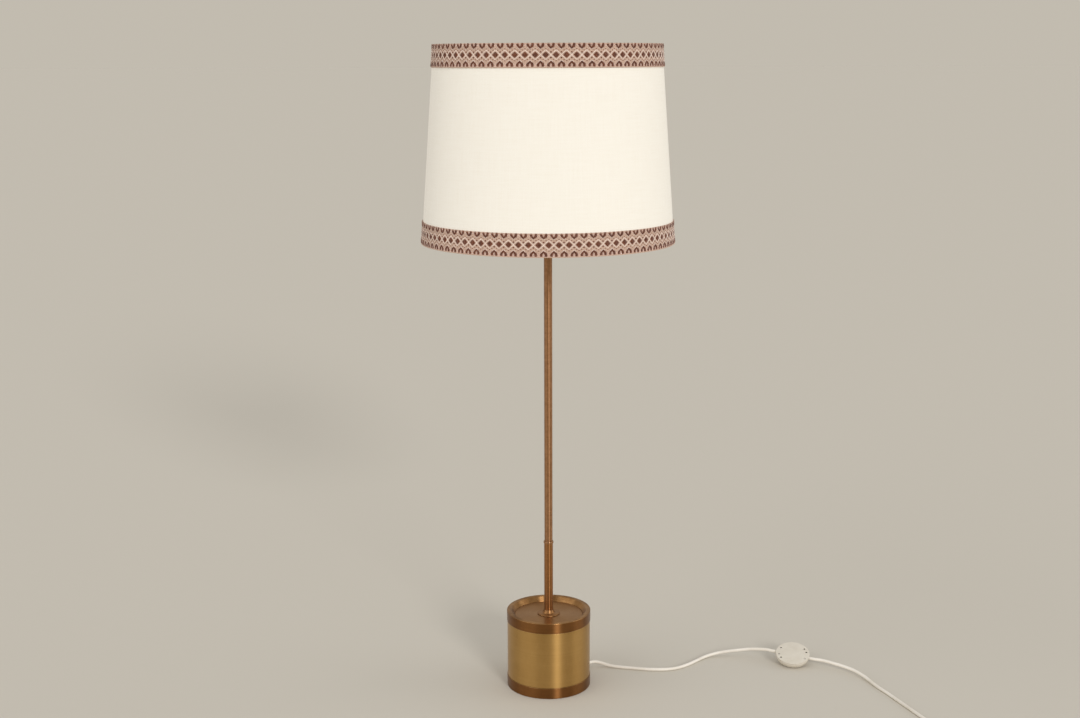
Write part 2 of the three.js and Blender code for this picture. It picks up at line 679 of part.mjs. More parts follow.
function switchPlate() {
  const rim = SWITCH_RADIUS;
  const plate = turned([
    [0, -SWITCH_PLATE], [rim, -SWITCH_PLATE], [rim, -EDGE], [rim - EDGE, 0], [0, 0],
  ], 2 * SMALL_FACETS);
  const angles = [0, 180].flatMap((entry) => SWITCH_HOLE_ANGLES.map((angle) => entry + angle));
  const holes = angles.map((angle) => {
    const { x, y } = ringPoint(SWITCH_HOLE_CIRCLE, angle, 0);
    return new THREE.CylinderGeometry(SWITCH_HOLE_RADIUS, SWITCH_HOLE_RADIUS, 4 * SWITCH_PLATE, 12)
      .rotateX(Math.PI / 2).translate(x, y, 0);
  });
  return cut(plate, holes);
}

// A shallow bowl with a hole for the button and a notch for the cord at each side.
function switchCover() {
  const top = -SWITCH_PLATE - FIT;
  const bowl = (inset) => [
    ...SWITCH_BOWL.map(([radius, z, inward, upward]) => [radius - inward * inset, z + upward * inset]),
    [SWITCH_RADIUS - inset, top - SWITCH_RIM], [SWITCH_RADIUS - inset, top],
  ];
  const cover = turned([
    [SWITCH_MOUTH, -SWITCH_DEPTH], ...bowl(0), ...bowl(SWITCH_WALL).reverse(),
    [SWITCH_MOUTH, -SWITCH_DEPTH + SWITCH_WALL],
  ], 2 * SMALL_FACETS);
  const reach = SWITCH_RADIUS + 4;
  const line = disc(CORD_RADIUS + SWITCH_NOTCH, -reach, reach, 12);
  return cut(cover, [alongX(line).translate(0, 0, -SWITCH_CORD_DEPTH)]);
}

// The contact block that the cord's two ends run up to.
function switchBlock() {
  const half = SWITCH_CORD_END - FIT;
  const wide = SWITCH_BLOCK_WIDTH / 2;
  const bevel = 4;
  const corners = [
    [half, wide - bevel], [half - bevel, wide], [bevel - half, wide], [-half, wide - bevel],
    [-half, bevel - wide], [bevel - half, -wide], [half - bevel, -wide], [half, bevel - wide],
  ].map(([x, y]) => new THREE.Vector2(x, y));
  const top = -SWITCH_PLATE - FIT;
  return slab(corners, [], -SWITCH_BLOCK_BOTTOM, top + SWITCH_BLOCK_BOTTOM);
}

function switchButton() {
  const face = -SWITCH_DEPTH - BUTTON_OUT;
  const flange = -SWITCH_DEPTH + SWITCH_WALL + FIT;
  const flangeTop = -SWITCH_BLOCK_BOTTOM - BUTTON_OUT - FIT;
  return turned([
    [0, face], [BUTTON_RADIUS - BUTTON_BEVEL, face], [BUTTON_RADIUS, face + BUTTON_BEVEL],
    [BUTTON_RADIUS, flange],
    [BUTTON_FLANGE, flange], [BUTTON_FLANGE, flangeTop], [0, flangeTop],
  ], STEM_FACETS);
}

// The coil's centreline goes in along the lower layer, climbs where the spiral turns back, and
// comes out along the upper layer.
function coilPoint(turn) {
  const fromMiddle = turn - COIL_TURNS / 2;
  const radius = COIL_INNER + COIL_PITCH * (Math.hypot(fromMiddle, COIL_EASE) - COIL_EASE);
  const climb = THREE.MathUtils.smoothstep(fromMiddle, -0.25, 0.25);
  const point = ringPoint(radius, COIL_START - 360 * turn, COIL_LOW + COIL_LAYER * climb);
  return point.add(new THREE.Vector3(...COIL_CENTRE, 0));
}

// The whole line of the coil: a straight start, its turns, and a tail that comes down to the plug.
function coilLine() {
  const steps = Math.round(COIL_TURNS * COIL_STEPS);
  const turns = Array.from({ length: steps + 1 }, (_, i) => coilPoint((i * COIL_TURNS) / steps));
  const [first, second] = turns;
  const start = first.clone().addScaledVector(first.clone().sub(second).normalize(), 2 * CORD_RADIUS);
  const last = turns[steps];
  const straight = COIL_TAIL - 2 * CORD_RADIUS;
  const tail = [5, 10, 16, 22, 28, straight, COIL_TAIL].map((along) => {
    const fall = THREE.MathUtils.smoothstep(along, COIL_TAIL_LEVEL, straight);
    return new THREE.Vector3(last.x - along, last.y, THREE.MathUtils.lerp(last.z, PLUG_AXIS, fall));
  });
  return [start, ...turns, ...tail];
}

// A closed tube through points, with its rings kept level.
function tubeThrough(points, radius, sides) {
  const up = new THREE.Vector3(0, 0, 1);
  const vertices = [];
  const triangles = [];
  points.forEach((point, i) => {
    const ahead = points[Math.min(i + 1, points.length - 1)];
    const behind = points[Math.max(i - 1, 0)];
    const along = ahead.clone().sub(behind).normalize();
    const aside = along.clone().cross(up).normalize();
    const above = aside.clone().cross(along);
    for (const { x, y } of polygon(radius, sides)) {
      const corner = point.clone().addScaledVector(aside, x).addScaledVector(above, y);
      vertices.push(...corner.toArray());
    }
  });
  const rings = points.length;
  for (let i = 0; i + 1 < rings; i += 1) {
    for (let j = 0; j < sides; j += 1) {
      const [a, b] = [i * sides + j, i * sides + ((j + 1) % sides)];
      triangles.push(a, a + sides, b, b, a + sides, b + sides);
    }
  }
  const end = (rings - 1) * sides;
  for (let j = 1; j + 1 < sides; j += 1) {
    triangles.push(0, j, j + 1, end, end + j + 1, end + j);
  }
  const geometry = new THREE.BufferGeometry();
  geometry.setAttribute('position', new THREE.Float32BufferAttribute(vertices, 3));
  return geometry.setIndex(triangles);
}

function lineLength(points) {
  return points.slice(1).reduce((sum, point, i) => sum + point.distanceTo(points[i]), 0);
}

// The least gap between parts of a line that are at least half a loop apart along it.
function leastGap(points, diameter) {
  const between = (a, b) => [0, 0.25, 0.5, 0.75].map((share) => a.clone().lerp(b, share));
  const fine = points.slice(1).flatMap((point, i) => between(points[i], point));
  const apart = 4 * (COIL_STEPS / 2);
  let least = Infinity;
  for (let i = 0; i < fine.length; i += 1) {
    for (let j = i + apart; j < fine.length; j += 1) {
      least = Math.min(least, fine[i].distanceTo(fine[j]));
    }
  }
  return least - diameter;
}

// A strap round the bundle of turns.
function coilStrap() {
  const outerTurn = coilPoint(0).distanceTo(new THREE.Vector3(...COIL_CENTRE, COIL_LOW));
  const inside = COIL_INNER - CORD_RADIUS - STRAP_SLACK;
  const outside = outerTurn + CORD_RADIUS + STRAP_SLACK;
  const top = COIL_LOW + COIL_LAYER + CORD_RADIUS + FIT + STRAP_THICK;
  const box = (grow, round) => {
    const [left, right] = [inside - grow, outside + grow];
    const [low, high] = [STRAP_THICK - grow, top - STRAP_THICK + grow];
    const path = new THREE.Shape();
    path.absarc(right - round, low + round, round, -Math.PI / 2, 0);
    path.absarc(right - round, high - round, round, 0, Math.PI / 2);
    path.absarc(left + round, high - round, round, Math.PI / 2, Math.PI);
    path.absarc(left + round, low + round, round, Math.PI, 1.5 * Math.PI);
    return path.getPoints(2);
  };
  const [outline, hole] = [box(STRAP_THICK, STRAP_ROUND), box(0, STRAP_ROUND - STRAP_THICK)];
  const strap = slab(outline, [hole], -STRAP_WIDTH / 2, STRAP_WIDTH);
  return strap.rotateX(Math.PI / 2).rotateZ(radians(STRAP_AZIMUTH)).translate(...COIL_CENTRE, 0);
}

// Plug, in its own frame: +X towards the pins
function plugRelief() {
  const profile = [[0, 0], [CORD_RADIUS + 0.8, 0], [PLUG_THICK / 2 - 1, PLUG_RELIEF], [0, PLUG_RELIEF]];
  return alongX(turned(profile, SMALL_FACETS));
}

function plugBody() {
  const [neck, wide] = [PLUG_NECK / 2, PLUG_WIDTH / 2];
  const half = [
    [0, -neck], [5, -neck - 0.5], [11, -neck - 4], [18, -wide], [PLUG_LENGTH - PLUG_CORNER, -wide],
  ];
  const nose = [[PLUG_LENGTH, PLUG_CORNER - wide], [PLUG_LENGTH, wide - PLUG_CORNER]];
  const other = half.map(([x, y]) => [x, -y]).reverse();
  const shape = new THREE.Shape([...half, ...nose, ...other].map(([x, y]) => new THREE.Vector2(x, y)));
  const body = new THREE.ExtrudeGeometry(shape, {
    depth: PLUG_THICK - 2 * PLUG_ROUND,
    bevelThickness: PLUG_ROUND,
    bevelSize: PLUG_ROUND,
    bevelOffset: -PLUG_ROUND,
    bevelSegments: 2,
  });
  return body.translate(PLUG_RELIEF + FIT, 0, PLUG_ROUND - PLUG_THICK / 2);
}

function plugPin(side) {
  const [across, along] = PIN_TIP;
  const profile = [
    [0, 0], [PIN_RADIUS, 0], [PIN_RADIUS, PIN_LENGTH - along], [PIN_RADIUS - across, PIN_LENGTH],
    [0, PIN_LENGTH],
  ];
  const root = PLUG_RELIEF + PLUG_LENGTH + 2 * FIT;
  return alongX(turned(profile, SMALL_FACETS)).translate(root, (side * PIN_SPACING) / 2, 0);
}

// Cord routes between the grommet, the switch and the coil, chosen by hand
const coilRoute = coilLine();
const [coilFirst, coilSecond] = coilRoute;
const coilHeading = coilSecond.clone().sub(coilFirst).normalize();

const routeToSwitch = [
  ...[0, 2].map((along) => ringPoint(GROMMET_TIP + FIT + along, EXIT_AZIMUTH, EXIT_HEIGHT)),
  ...[
    [88.3, 72.2, 10.8], [97.1, 74.2, 9], [105.9, 73.3, 6.8], [118, 70, 4.1], [132, 66.2, 3.2],
    [165, 58.4, 3.1], [199, 52.2, 3.1], [233, 53, 3.1], [251, 60, 3.1], [270, 74, 3.1],
    [289, 93, 3.1], [309, 112, 4], [328, 120.5, 6.5], [350, 121.5, 10.5], [373, 117, 15.2],
    [399, 111.5, 19.8],
  ].map((at) => new THREE.Vector3(...at)),
  ...[-52, -42, -34, -SWITCH_CORD_END].map(switchPoint),
];

const routeToCoil = [
  ...[SWITCH_CORD_END, 34, 42].map(switchPoint),
  ...[
    [532, 68, 13.8], [551, 57, 12.4], [569.5, 45, 10.6], [587, 30, 8.4], [601.5, 7, 6],
    [611, -17, 4.2], [619.5, -39, 3.3], [630, -64, 3.1], [640, -91, 3.1], [650, -118, 3.1],
    [660, -145, 3.1], [669, -170, 3.2], [678, -195, 3.5],
  ].map((at) => new THREE.Vector3(...at)),
  coilFirst.clone().addScaledVector(coilHeading, -12),
  coilFirst.clone().addScaledVector(coilHeading, -FIT),
];

// A stretch of cord along its route.
function cordStretch(route) {
  const curve = new THREE.CatmullRomCurve3(route);
  return bar(curve, CORD_RADIUS, CORD_SIDES, Math.round(curve.getLength() / CORD_STEP));
}

// Assembly
const baseGroup = groupOf(
  piece('floor_felt', 'felt', disc(FELT_RADIUS, 0, FELT_TOP, BASE_FACETS)),
  piece('bottom_plate', 'steel', bottomPlate()),
  ...SCREW_AZIMUTHS.map((azimuth, i) => piece(`plate_screw_${i + 1}`, 'steel', plateScrew(azimuth, 0))),
  piece('bottom_ring', 'bronze', bottomRing()),
  piece('base_shell', 'brass', baseShell()),
  piece('top_ring', 'bronze', topRing()),
  piece('top_plate', 'satinBronze', topPlate()),
  piece('stem_rosette', 'bronze', stemRosette()),
  piece('ballast_weight', 'iron', ballastWeight()),
  piece('clamp_washer', 'steel', pipe(
    SHANK_RADIUS + FIT, WASHER_RADIUS, WELL_TOP - FIT - WASHER_THICK, WELL_TOP - FIT, STEM_FACETS,
  )),
  piece('clamp_nut', 'steel', clampNut()),
  piece('spacer_tube', 'steel', pipe(
    SLEEVE_RADIUS + FIT, SPACER_RADIUS, BALLAST_TOP + FIT, DISH_FLOOR - TOP_PLATE_THICK - FIT, STEM_FACETS,
  )),
  piece('sleeve_plug', 'copperBrass', sleevePlug()),
  piece('stem_sleeve', 'copperBrass', stemSleeve()),
  piece('sleeve_collar', 'copperBrass', sleeveCollar()),
  piece('cord_grommet', 'whitePlastic', cordGrommet()),
  piece('base_flex', 'cordPvc', baseFlex()),
);

const stemGroup = groupOf(
  piece('stem_tube', 'copperBrass', pipe(TUBE_BORE, TUBE_RADIUS, TUBE_BOTTOM, TUBE_TOP, STEM_FACETS)),
  piece('tube_foot', 'copperBrass', tubeFoot()),
  piece('friction_ring', 'nylon', frictionRing()),
  piece('stem_flex', 'cordPvc', stemFlex()),
  piece('holder_nipple', 'steel', holderNipple()),
  piece('holder_cap', 'whitePlastic', holderCap()),
  piece('holder_skirt', 'whitePlastic', pipe(
    HOLDER_RADIUS - HOLDER_WALL, HOLDER_RADIUS, HOLDER_SEAM + FIT, HOLDER_TOP, STEM_FACETS,
  )),
  piece('holder_insert', 'porcelain', holderInsert()),
  piece('screw_shell', 'brass', screwShell()),
  piece('centre_contact', 'brass', centreContact()),
  piece('shade_nut_lower', 'whitePlastic', shadeNut(FITTER_BOTTOM - FIT - SHADE_NUT_THICK)),
  piece('shade_nut_upper', 'whitePlastic', shadeNut(FITTER_BOTTOM + FITTER_THICK + FIT)),
);

const bulbGroup = groupOf(
  piece('bulb_contact', 'steel', bulbContact()),
  piece('bulb_cap', 'steel', bulbCap()),
  piece('bulb_glass', 'opalGlass', bulbGlass()),
);

const shadeGroup = groupOf(
  piece('shade_cover', 'linen', shadeCover()),
  piece('trim_band_top', 'braid', trimBand(SHADE_TOP - BAND_HEIGHT, SHADE_TOP)),
  piece('trim_band_bottom', 'braid', trimBand(SHADE_BOTTOM, SHADE_BOTTOM + BAND_HEIGHT)),
  piece('top_wire_ring', 'coatedWire', wireRing(SHADE_TOP - WIRE_INSET)),
  piece('bottom_wire_ring', 'coatedWire', wireRing(SHADE_BOTTOM + WIRE_INSET)),
  piece('fitter_ring', 'coatedWire', pipe(
    FITTER_BORE, FITTER_RADIUS, FITTER_BOTTOM, FITTER_BOTTOM + FITTER_THICK, 2 * SMALL_FACETS,
  )),
  ...ARM_AZIMUTHS.map((azimuth, i) => piece(`spider_arm_${i + 1}`, 'coatedWire', spiderArm(azimuth))),
);

const switchGroup = groupOf(
  piece('switch_plate', 'whitePlastic', switchPlate()),
  piece('switch_cover', 'whitePlastic', switchCover()),
  piece('switch_block', 'porcelain', switchBlock()),
  piece('switch_button', 'whitePlastic', switchButton()),
);
switchGroup.applyMatrix4(switchPose);

const plugGroup = groupOf(
  piece('plug_relief', 'whitePlastic', plugRelief()),
  piece('plug_body', 'whitePlastic', plugBody()),
  piece('plug_pin_1', 'steel', plugPin(-1)),
  piece('plug_pin_2', 'steel', plugPin(1)),
);
const coilTailEnd = coilRoute[coilRoute.length - 1];
plugGroup.position.set(coilTailEnd.x - FIT, coilTailEnd.y, coilTailEnd.z);
plugGroup.rotation.z = Math.PI;

const cordGroup = groupOf(
  piece('cord_base_to_switch', 'cordPvc', cordStretch(routeToSwitch)),
  piece('cord_switch_to_coil', 'cordPvc', cordStretch(routeToCoil)),
  piece('cord_coil', 'cordPvc', tubeThrough(coilRoute, CORD_RADIUS, COIL_SIDES)),
  piece('coil_strap', 'nylon', coilStrap()),
);

const curves = [routeToSwitch, routeToCoil].map((route) => new THREE.CatmullRomCurve3(route));
const lengths = [...curves.map((curve) => curve.getLength()), lineLength(coilRoute)];
console.log('cord lengths', lengths.map((length) => length.toFixed(0)).join(', '));
console.log('least gap in the coil', leastGap(coilRoute, 2 * CORD_RADIUS).toFixed(2));

export default groupOf(baseGroup, stemGroup, bulbGroup, shadeGroup, switchGroup, plugGroup, cordGroup);
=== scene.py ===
"""Looks of a floor lamp: a drum base, a telescopic stem and a cone shade edged with woven braid.

The scene is in metres, +Z up, +X to the right and +Y to the back, and the origin is the middle of the
base's underside. Sizes in the classes are in millimetres.
"""

import logging
import math
from dataclasses import dataclass
from enum import Enum
from typing import Any, Callable, Sequence

import bmesh
import bpy
import numpy as np
from bpy.types import Material, Mesh, NodeSocket, NodeTree, Object
from mathutils import Matrix, Vector


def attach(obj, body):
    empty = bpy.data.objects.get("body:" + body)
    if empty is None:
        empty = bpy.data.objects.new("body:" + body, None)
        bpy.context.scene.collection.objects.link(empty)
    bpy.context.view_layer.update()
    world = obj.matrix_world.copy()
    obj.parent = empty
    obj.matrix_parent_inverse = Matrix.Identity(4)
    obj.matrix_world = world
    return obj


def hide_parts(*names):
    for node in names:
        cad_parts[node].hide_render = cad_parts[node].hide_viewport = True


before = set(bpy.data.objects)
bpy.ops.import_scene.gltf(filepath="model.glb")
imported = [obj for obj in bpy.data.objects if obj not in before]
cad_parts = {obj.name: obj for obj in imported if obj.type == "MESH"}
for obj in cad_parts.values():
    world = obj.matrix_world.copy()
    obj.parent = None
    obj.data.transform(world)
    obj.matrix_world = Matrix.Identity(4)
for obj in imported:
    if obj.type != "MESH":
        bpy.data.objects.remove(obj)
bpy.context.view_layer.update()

LOG = logging.getLogger("floor_lamp")
MM = 0.001
# Clearance between neighbouring solids, in millimetres.
FIT = 0.3
# The strip beside an outer edge that wear reaches, in millimetres, and the attribute that marks it. The
# attribute also carries the painted highlight on the top ring's rim.
WORN_STRIP = 1.2
WEAR_AND_SHEEN = "wear"
# Turns of an outline from this many degrees up are worn, and fully so at twice as many.
WORN_TURN = 8.0
# A side of an outline has room for that strip if it is this many times as long.
STRIP_ROOM = 2.2
# A corner whose cosine is below this counts as straight, and a rounding takes this share of a side at most.
STRAIGHT = -0.97
SIDE_SHARE = 0.45
# Points closer than this are merged, in millimetres, and edges that turn by more than this stay sharp.
MERGE = 0.002
SHARP = math.radians(38)
STILL = Matrix.Identity(4)
ALONG_X = Matrix.Rotation(math.pi / 2, 4, "Y")

Pair = tuple[float, float]
Triple = tuple[float, float, float]
Profile = Sequence[Pair]
Point = Sequence[float]
YarnFloat = tuple[Point, Point, float, float]
Ripple = Callable[[np.ndarray, np.ndarray], np.ndarray]


class Body(str, Enum):
    """The moving bodies that pieces ride on."""

    BASE = "base"
    STEM = "stem"
    SHADE = "shade"
    BULB = "bulb"
    BUTTON = "button"


class CordEnd(str, Enum):
    """What a cord ends in."""

    FITTING = "fitting"
    PLUG = "plug"


class CordLay(str, Enum):
    """How a cord lies."""

    LOOSE = "loose"
    COILED = "coiled"


# Nodes and colours


def linear(colour: str) -> tuple[float, float, float, float]:
    """Turns an sRGB hex colour to linear.

    Args:
        colour: six hex digits after a hash sign.

    Returns:
        Linear red, green and blue, and an alpha of one.
    """
    parts = [int(colour[i : i + 2], 16) / 255 for i in (1, 3, 5)]
    red, green, blue = (p / 12.92 if p <= 0.04045 else ((p + 0.055) / 1.055) ** 2.4 for p in parts)
    return red, green, blue, 1.0


def add(
    tree: NodeTree, kind: str, inputs: dict | None = None, out: int | str = 0, **settings: Any
) -> NodeSocket | None:
    """Adds a node with its settings and links.

    Args:
        tree: the tree that gets the node.
        kind: the node's type.
        inputs: for each input, by name or number, a value or the output that feeds it.
        out: which of its outputs is wanted, by name or number.
        settings: the node's own properties.

    Returns:
        That output, or nothing from a node that has none.
    """
    node = tree.nodes.new(kind)
    for name, value in settings.items():
        setattr(node, name, value)
    for key, value in (inputs or {}).items():
        if isinstance(value, NodeSocket):
            tree.links.new(value, node.inputs[key])
        else:
            node.inputs[key].default_value = value
    return node.outputs[out] if node.outputs else None


def per_metre(size: float) -> float:
    """Noise scale for grains of a size in millimetres."""
    return 1 / (size * MM)


def bands(size: float) -> float:
    """Wave scale for bands of a width in millimetres."""
    return math.pi / (10 * size * MM)


# Finishes


@dataclass(frozen=True)
class Finish:
    """A surface of one real material, and the name of the slot that it belongs to."""

    name: str
    slot: str

    def material(self) -> Material:
        """Gives the material, which is made at its first use.

        Returns:
            The material.
        """
        made = bpy.data.materials.get(self.name)
        if made is None:
            made = bpy.data.materials.new(self.name)
            made.use_nodes = True
            made.node_tree.nodes.clear()
            surface = self.shader(made.node_tree)
            add(made.node_tree, "ShaderNodeOutputMaterial", {"Surface": surface})
        return made

    def shader(self, tree: NodeTree) -> NodeSocket:
        """Builds the surface's nodes; each kind of finish has its own."""
        raise NotImplementedError


@dataclass(frozen=True)
class MarkedMetal(Finish):
    """Turned, drawn or rolled metal: fine marks round its axis stretch each highlight along it.

    Bars are broad bands of tone that the tool leaves, so many marks wide.
    """

    tone: str
    patina: str
    bare: str
    patina_size: float
    roughness: float
    mark: float
    stretch: float
    patina_share: float = 0.3
    relief: float = 0.12
    mark_depth: float = 0.05
    bar_marks: float = 8.0
    bar_share: float = 0.4
    patina_dulls: float = 0.16
    gloss_range: Pair = (0.85, 1.15)

    def shader(self, tree: NodeTree) -> NodeSocket:
        """Builds tool marks, a patina in blotches and edges that are rubbed bare.

        Args:
            tree: the material's node tree.

        Returns:
            The shader's output.
        """
        place = add(tree, "ShaderNodeTexCoord", out="Object")
        level = add(tree, "ShaderNodeVectorMath", {0: place, 1: (1, 1, 0)}, operation="MULTIPLY")
        reach = add(tree, "ShaderNodeVectorMath", {0: level}, operation="LENGTH", out="Value")
        height = add(tree, "ShaderNodeSeparateXYZ", {0: place}, out="Z")
        across = add(tree, "ShaderNodeCombineXYZ", {"X": reach, "Y": height})
        marks, bars = (
            add(
                tree, "ShaderNodeTexNoise", {"Vector": across, "Scale": per_metre(size), "Detail": detail},
                out="Fac",
            )
            for size, detail in ((self.mark, 3.0), (self.bar_marks * self.mark, 2.0))
        )
        blotch = {"Vector": place, "Scale": per_metre(self.patina_size), "Detail": 6.0, "Roughness": 0.65}
        stain = add(tree, "ShaderNodeTexNoise", blotch, out="Fac")
        aged = add(
            tree, "ShaderNodeMapRange",
            inputs={"Value": stain, "From Min": 0.4, "From Max": 0.68, "To Max": self.patina_share},
        )
        toned = add(tree, "ShaderNodeMath", {0: bars, 1: self.bar_share, 2: aged}, operation="MULTIPLY_ADD")
        colour = add(
            tree, "ShaderNodeMix", {0: toned, 6: linear(self.tone), 7: linear(self.patina)},
            data_type="RGBA", out=2,
        )
        touched = add(
            tree, "ShaderNodeMapRange",
            inputs={"Value": stain, "From Min": 0.38, "From Max": 0.62, "To Min": 0.9, "To Max": 0.25},
        )
        # The bare tone follows the wear attribute: real wear on outer edges, and a painted highlight over the
        # top ring's rim.
        edge = add(tree, "ShaderNodeAttribute", attribute_name=WEAR_AND_SHEEN, out="Fac")
        rubbed = add(tree, "ShaderNodeMath", {0: edge, 1: touched}, operation="MULTIPLY")
        shown = add(
            tree, "ShaderNodeMix", {0: rubbed, 6: colour, 7: linear(self.bare)}, data_type="RGBA", out=2
        )
        least, most = (self.roughness * share for share in self.gloss_range)
        gloss = add(
            tree, "ShaderNodeMapRange",
            inputs={"Value": marks, "From Min": 0.3, "From Max": 0.7, "To Min": least, "To Max": most},
        )
        dulled = add(
            tree, "ShaderNodeMath", {0: aged, 1: self.patina_dulls, 2: gloss}, operation="MULTIPLY_ADD"
        )
        bump = {"Strength": self.relief, "Distance": self.mark_depth * MM, "Height": marks}
        relief = add(tree, "ShaderNodeBump", bump)
        tangent = add(tree, "ShaderNodeTangent", direction_type="RADIAL", axis="Z")
        surface = {
            "Base Color": shown, "Metallic": 1.0, "Roughness": dulled, "Normal": relief,
            "Anisotropic": self.stretch, "Anisotropic Rotation": 0.25, "Tangent": tangent,
        }
        return add(tree, "ShaderNodeBsdfPrincipled", surface)


@dataclass(frozen=True)
class Moulding(Finish):
    """A moulded, glazed or coated surface: an even tone with a slight grain and some yellowing."""

    tone: str
    aged: str
    roughness: float
    grain: float = 0.35
    relief: float = 0.08
    coat: float = 0.0
    polish: float = 0.35
    cloud: float = 14.0
    grain_depth: float = 0.08
    edge_grime: float = 0.5
    gloss_range: Pair = (0.85, 1.2)

    def shader(self, tree: NodeTree) -> NodeSocket:
        """Builds the grain, the slow change of tone and edges that are polished by use.

        Args:
            tree: the material's node tree.

        Returns:
            The shader's output.
        """
        place = add(tree, "ShaderNodeTexCoord", out="Object")
        grain, cloud = (
            add(
                tree, "ShaderNodeTexNoise", {"Vector": place, "Scale": per_metre(size), "Detail": detail},
                out="Fac",
            )
            for size, detail in ((self.grain, 2.0), (self.cloud, 4.0))
        )
        spread = add(
            tree, "ShaderNodeMapRange", {"Value": cloud, "From Min": 0.35, "From Max": 0.7, "To Max": 0.8}
        )
        edge = add(tree, "ShaderNodeAttribute", attribute_name=WEAR_AND_SHEEN, out="Fac")
        grimy = add(
            tree, "ShaderNodeMath", operation="MULTIPLY_ADD", use_clamp=True,
            inputs={0: edge, 1: self.edge_grime, 2: spread},
        )
        colour = add(
            tree, "ShaderNodeMix", {0: grimy, 6: linear(self.tone), 7: linear(self.aged)},
            data_type="RGBA", out=2,
        )
        least, most = (self.roughness * share for share in self.gloss_range)
        gloss = add(tree, "ShaderNodeMapRange", {"Value": cloud, "To Min": least, "To Max": most})
        polished = add(
            tree, "ShaderNodeMath", operation="MULTIPLY_ADD",
            inputs={0: edge, 1: -self.polish * self.roughness, 2: gloss},
        )
        bump = {"Strength": self.relief, "Distance": self.grain_depth * MM, "Height": grain}
        relief = add(tree, "ShaderNodeBump", bump)
        surface = {"Base Color": colour, "Roughness": polished, "Coat Weight": self.coat, "Normal": relief}
        return add(tree, "ShaderNodeBsdfPrincipled", surface)


@dataclass(frozen=True)
class CordSheath(Finish):
    """Extruded sheath: smooth and slightly greasy, with the lay of the two cores just felt through it."""

    tone: str
    soiled: str
    roughness: float
    lay: float
    soil_size: float = 30.0
    relief: float = 0.12
    core_depth: float = 0.25
    gloss_range: Pair = (0.8, 1.2)

    def shader(self, tree: NodeTree) -> NodeSocket:
        """Builds the twist of the cores and the handled, greyer stretches.

        Args:
            tree: the material's node tree.

        Returns:
            The shader's output.
        """
        along = add(tree, "ShaderNodeTexCoord", out="UV")
        place = along.node.outputs["Object"]
        # Diagonal bands repeat every fifth of pi: once round the sheath, and once along two lays.
        repeat = 0.2 * math.pi
        scale = (repeat, repeat / (2 * self.lay * MM), 0)
        twist = add(tree, "ShaderNodeMapping", {"Vector": along, "Scale": scale})
        cores = add(
            tree, "ShaderNodeTexWave", {"Vector": twist, "Scale": 1.0},
            bands_direction="DIAGONAL", out="Fac",
        )
        soil = add(
            tree, "ShaderNodeTexNoise", out="Fac",
            inputs={"Vector": place, "Scale": per_metre(self.soil_size), "Detail": 5.0},
        )
        amount = add(
            tree, "ShaderNodeMapRange", {"Value": soil, "From Min": 0.42, "From Max": 0.75, "To Max": 0.7}
        )
        colour = add(
            tree, "ShaderNodeMix", {0: amount, 6: linear(self.tone), 7: linear(self.soiled)},
            data_type="RGBA", out=2,
        )
        least, most = (self.roughness * share for share in self.gloss_range)
        gloss = add(tree, "ShaderNodeMapRange", {"Value": soil, "To Min": least, "To Max": most})
        bump = {"Strength": self.relief, "Distance": self.core_depth * MM, "Height": cores}
        relief = add(tree, "ShaderNodeBump", bump)
        surface = {"Base Color": colour, "Roughness": gloss, "Normal": relief}
        return add(tree, "ShaderNodeBsdfPrincipled", surface)


@dataclass(frozen=True)
class WovenCloth(Finish):
    """Plain-woven cloth: threads over and under each other, with thicker slubs here and there.

    A slub is so many times as long as it is thick.
    """

    tone: str
    hollow_shade: str
    thread: float
    slub: float
    relief: float
    sheen: float
    thread_depth: float = 0.2
    slub_length: float = 25.0
    slub_share: float = 0.9
    roughness: float = 0.9

    def shader(self, tree: NodeTree) -> NodeSocket:
        """Builds the weave along the piece's own UV map, which is in metres.

        Args:
            tree: the material's node tree.

        Returns:
            The shader's output.
        """
        along = add(tree, "ShaderNodeTexCoord", out="UV")
        fine = {"Vector": along, "Scale": bands(self.thread), "Distortion": 0.6, "Detail": 1.0}
        warp = add(tree, "ShaderNodeTexWave", fine, bands_direction="X", out="Fac")
        weft = add(tree, "ShaderNodeTexWave", fine, bands_direction="Y", out="Fac")
        over = add(
            tree, "ShaderNodeTexChecker", {"Vector": along, "Scale": per_metre(self.thread)}, out="Fac"
        )
        weave = add(tree, "ShaderNodeMix", {0: over, 2: warp, 3: weft}, data_type="FLOAT")
        slubs = []
        drawn_out = 1 / self.slub_length
        for stretch in ((1.0, drawn_out, 1.0), (drawn_out, 1.0, 1.0)):
            drawn = add(tree, "ShaderNodeMapping", {"Vector": along, "Scale": stretch})
            grain = {"Vector": drawn, "Scale": per_metre(self.slub), "Detail": 3.0}
            slubs.append(add(tree, "ShaderNodeTexNoise", grain, out="Fac"))
        streak = add(tree, "ShaderNodeMath", {0: slubs[0], 1: slubs[1]}, operation="ADD")
        height = add(
            tree, "ShaderNodeMath", {0: streak, 1: self.slub_share, 2: weave}, operation="MULTIPLY_ADD"
        )
        # Painted shade: the low places between threads are painted darker, towards the hollow colour.
        depth = add(
            tree, "ShaderNodeMapRange",
            inputs={"Value": height, "From Min": 0.6, "From Max": 1.6, "To Min": 1.0, "To Max": 0.0},
        )
        colour = add(
            tree, "ShaderNodeMix", {0: depth, 6: linear(self.tone), 7: linear(self.hollow_shade)},
            data_type="RGBA", out=2,
        )
        bump = {"Strength": self.relief, "Distance": self.thread_depth * MM, "Height": height}
        relief = add(tree, "ShaderNodeBump", bump)
        surface = {
            "Base Color": colour, "Roughness": self.roughness, "Normal": relief,
            "Specular IOR Level": 0.2, "Sheen Weight": self.sheen,
        }
        return add(tree, "ShaderNodeBsdfPrincipled", surface)


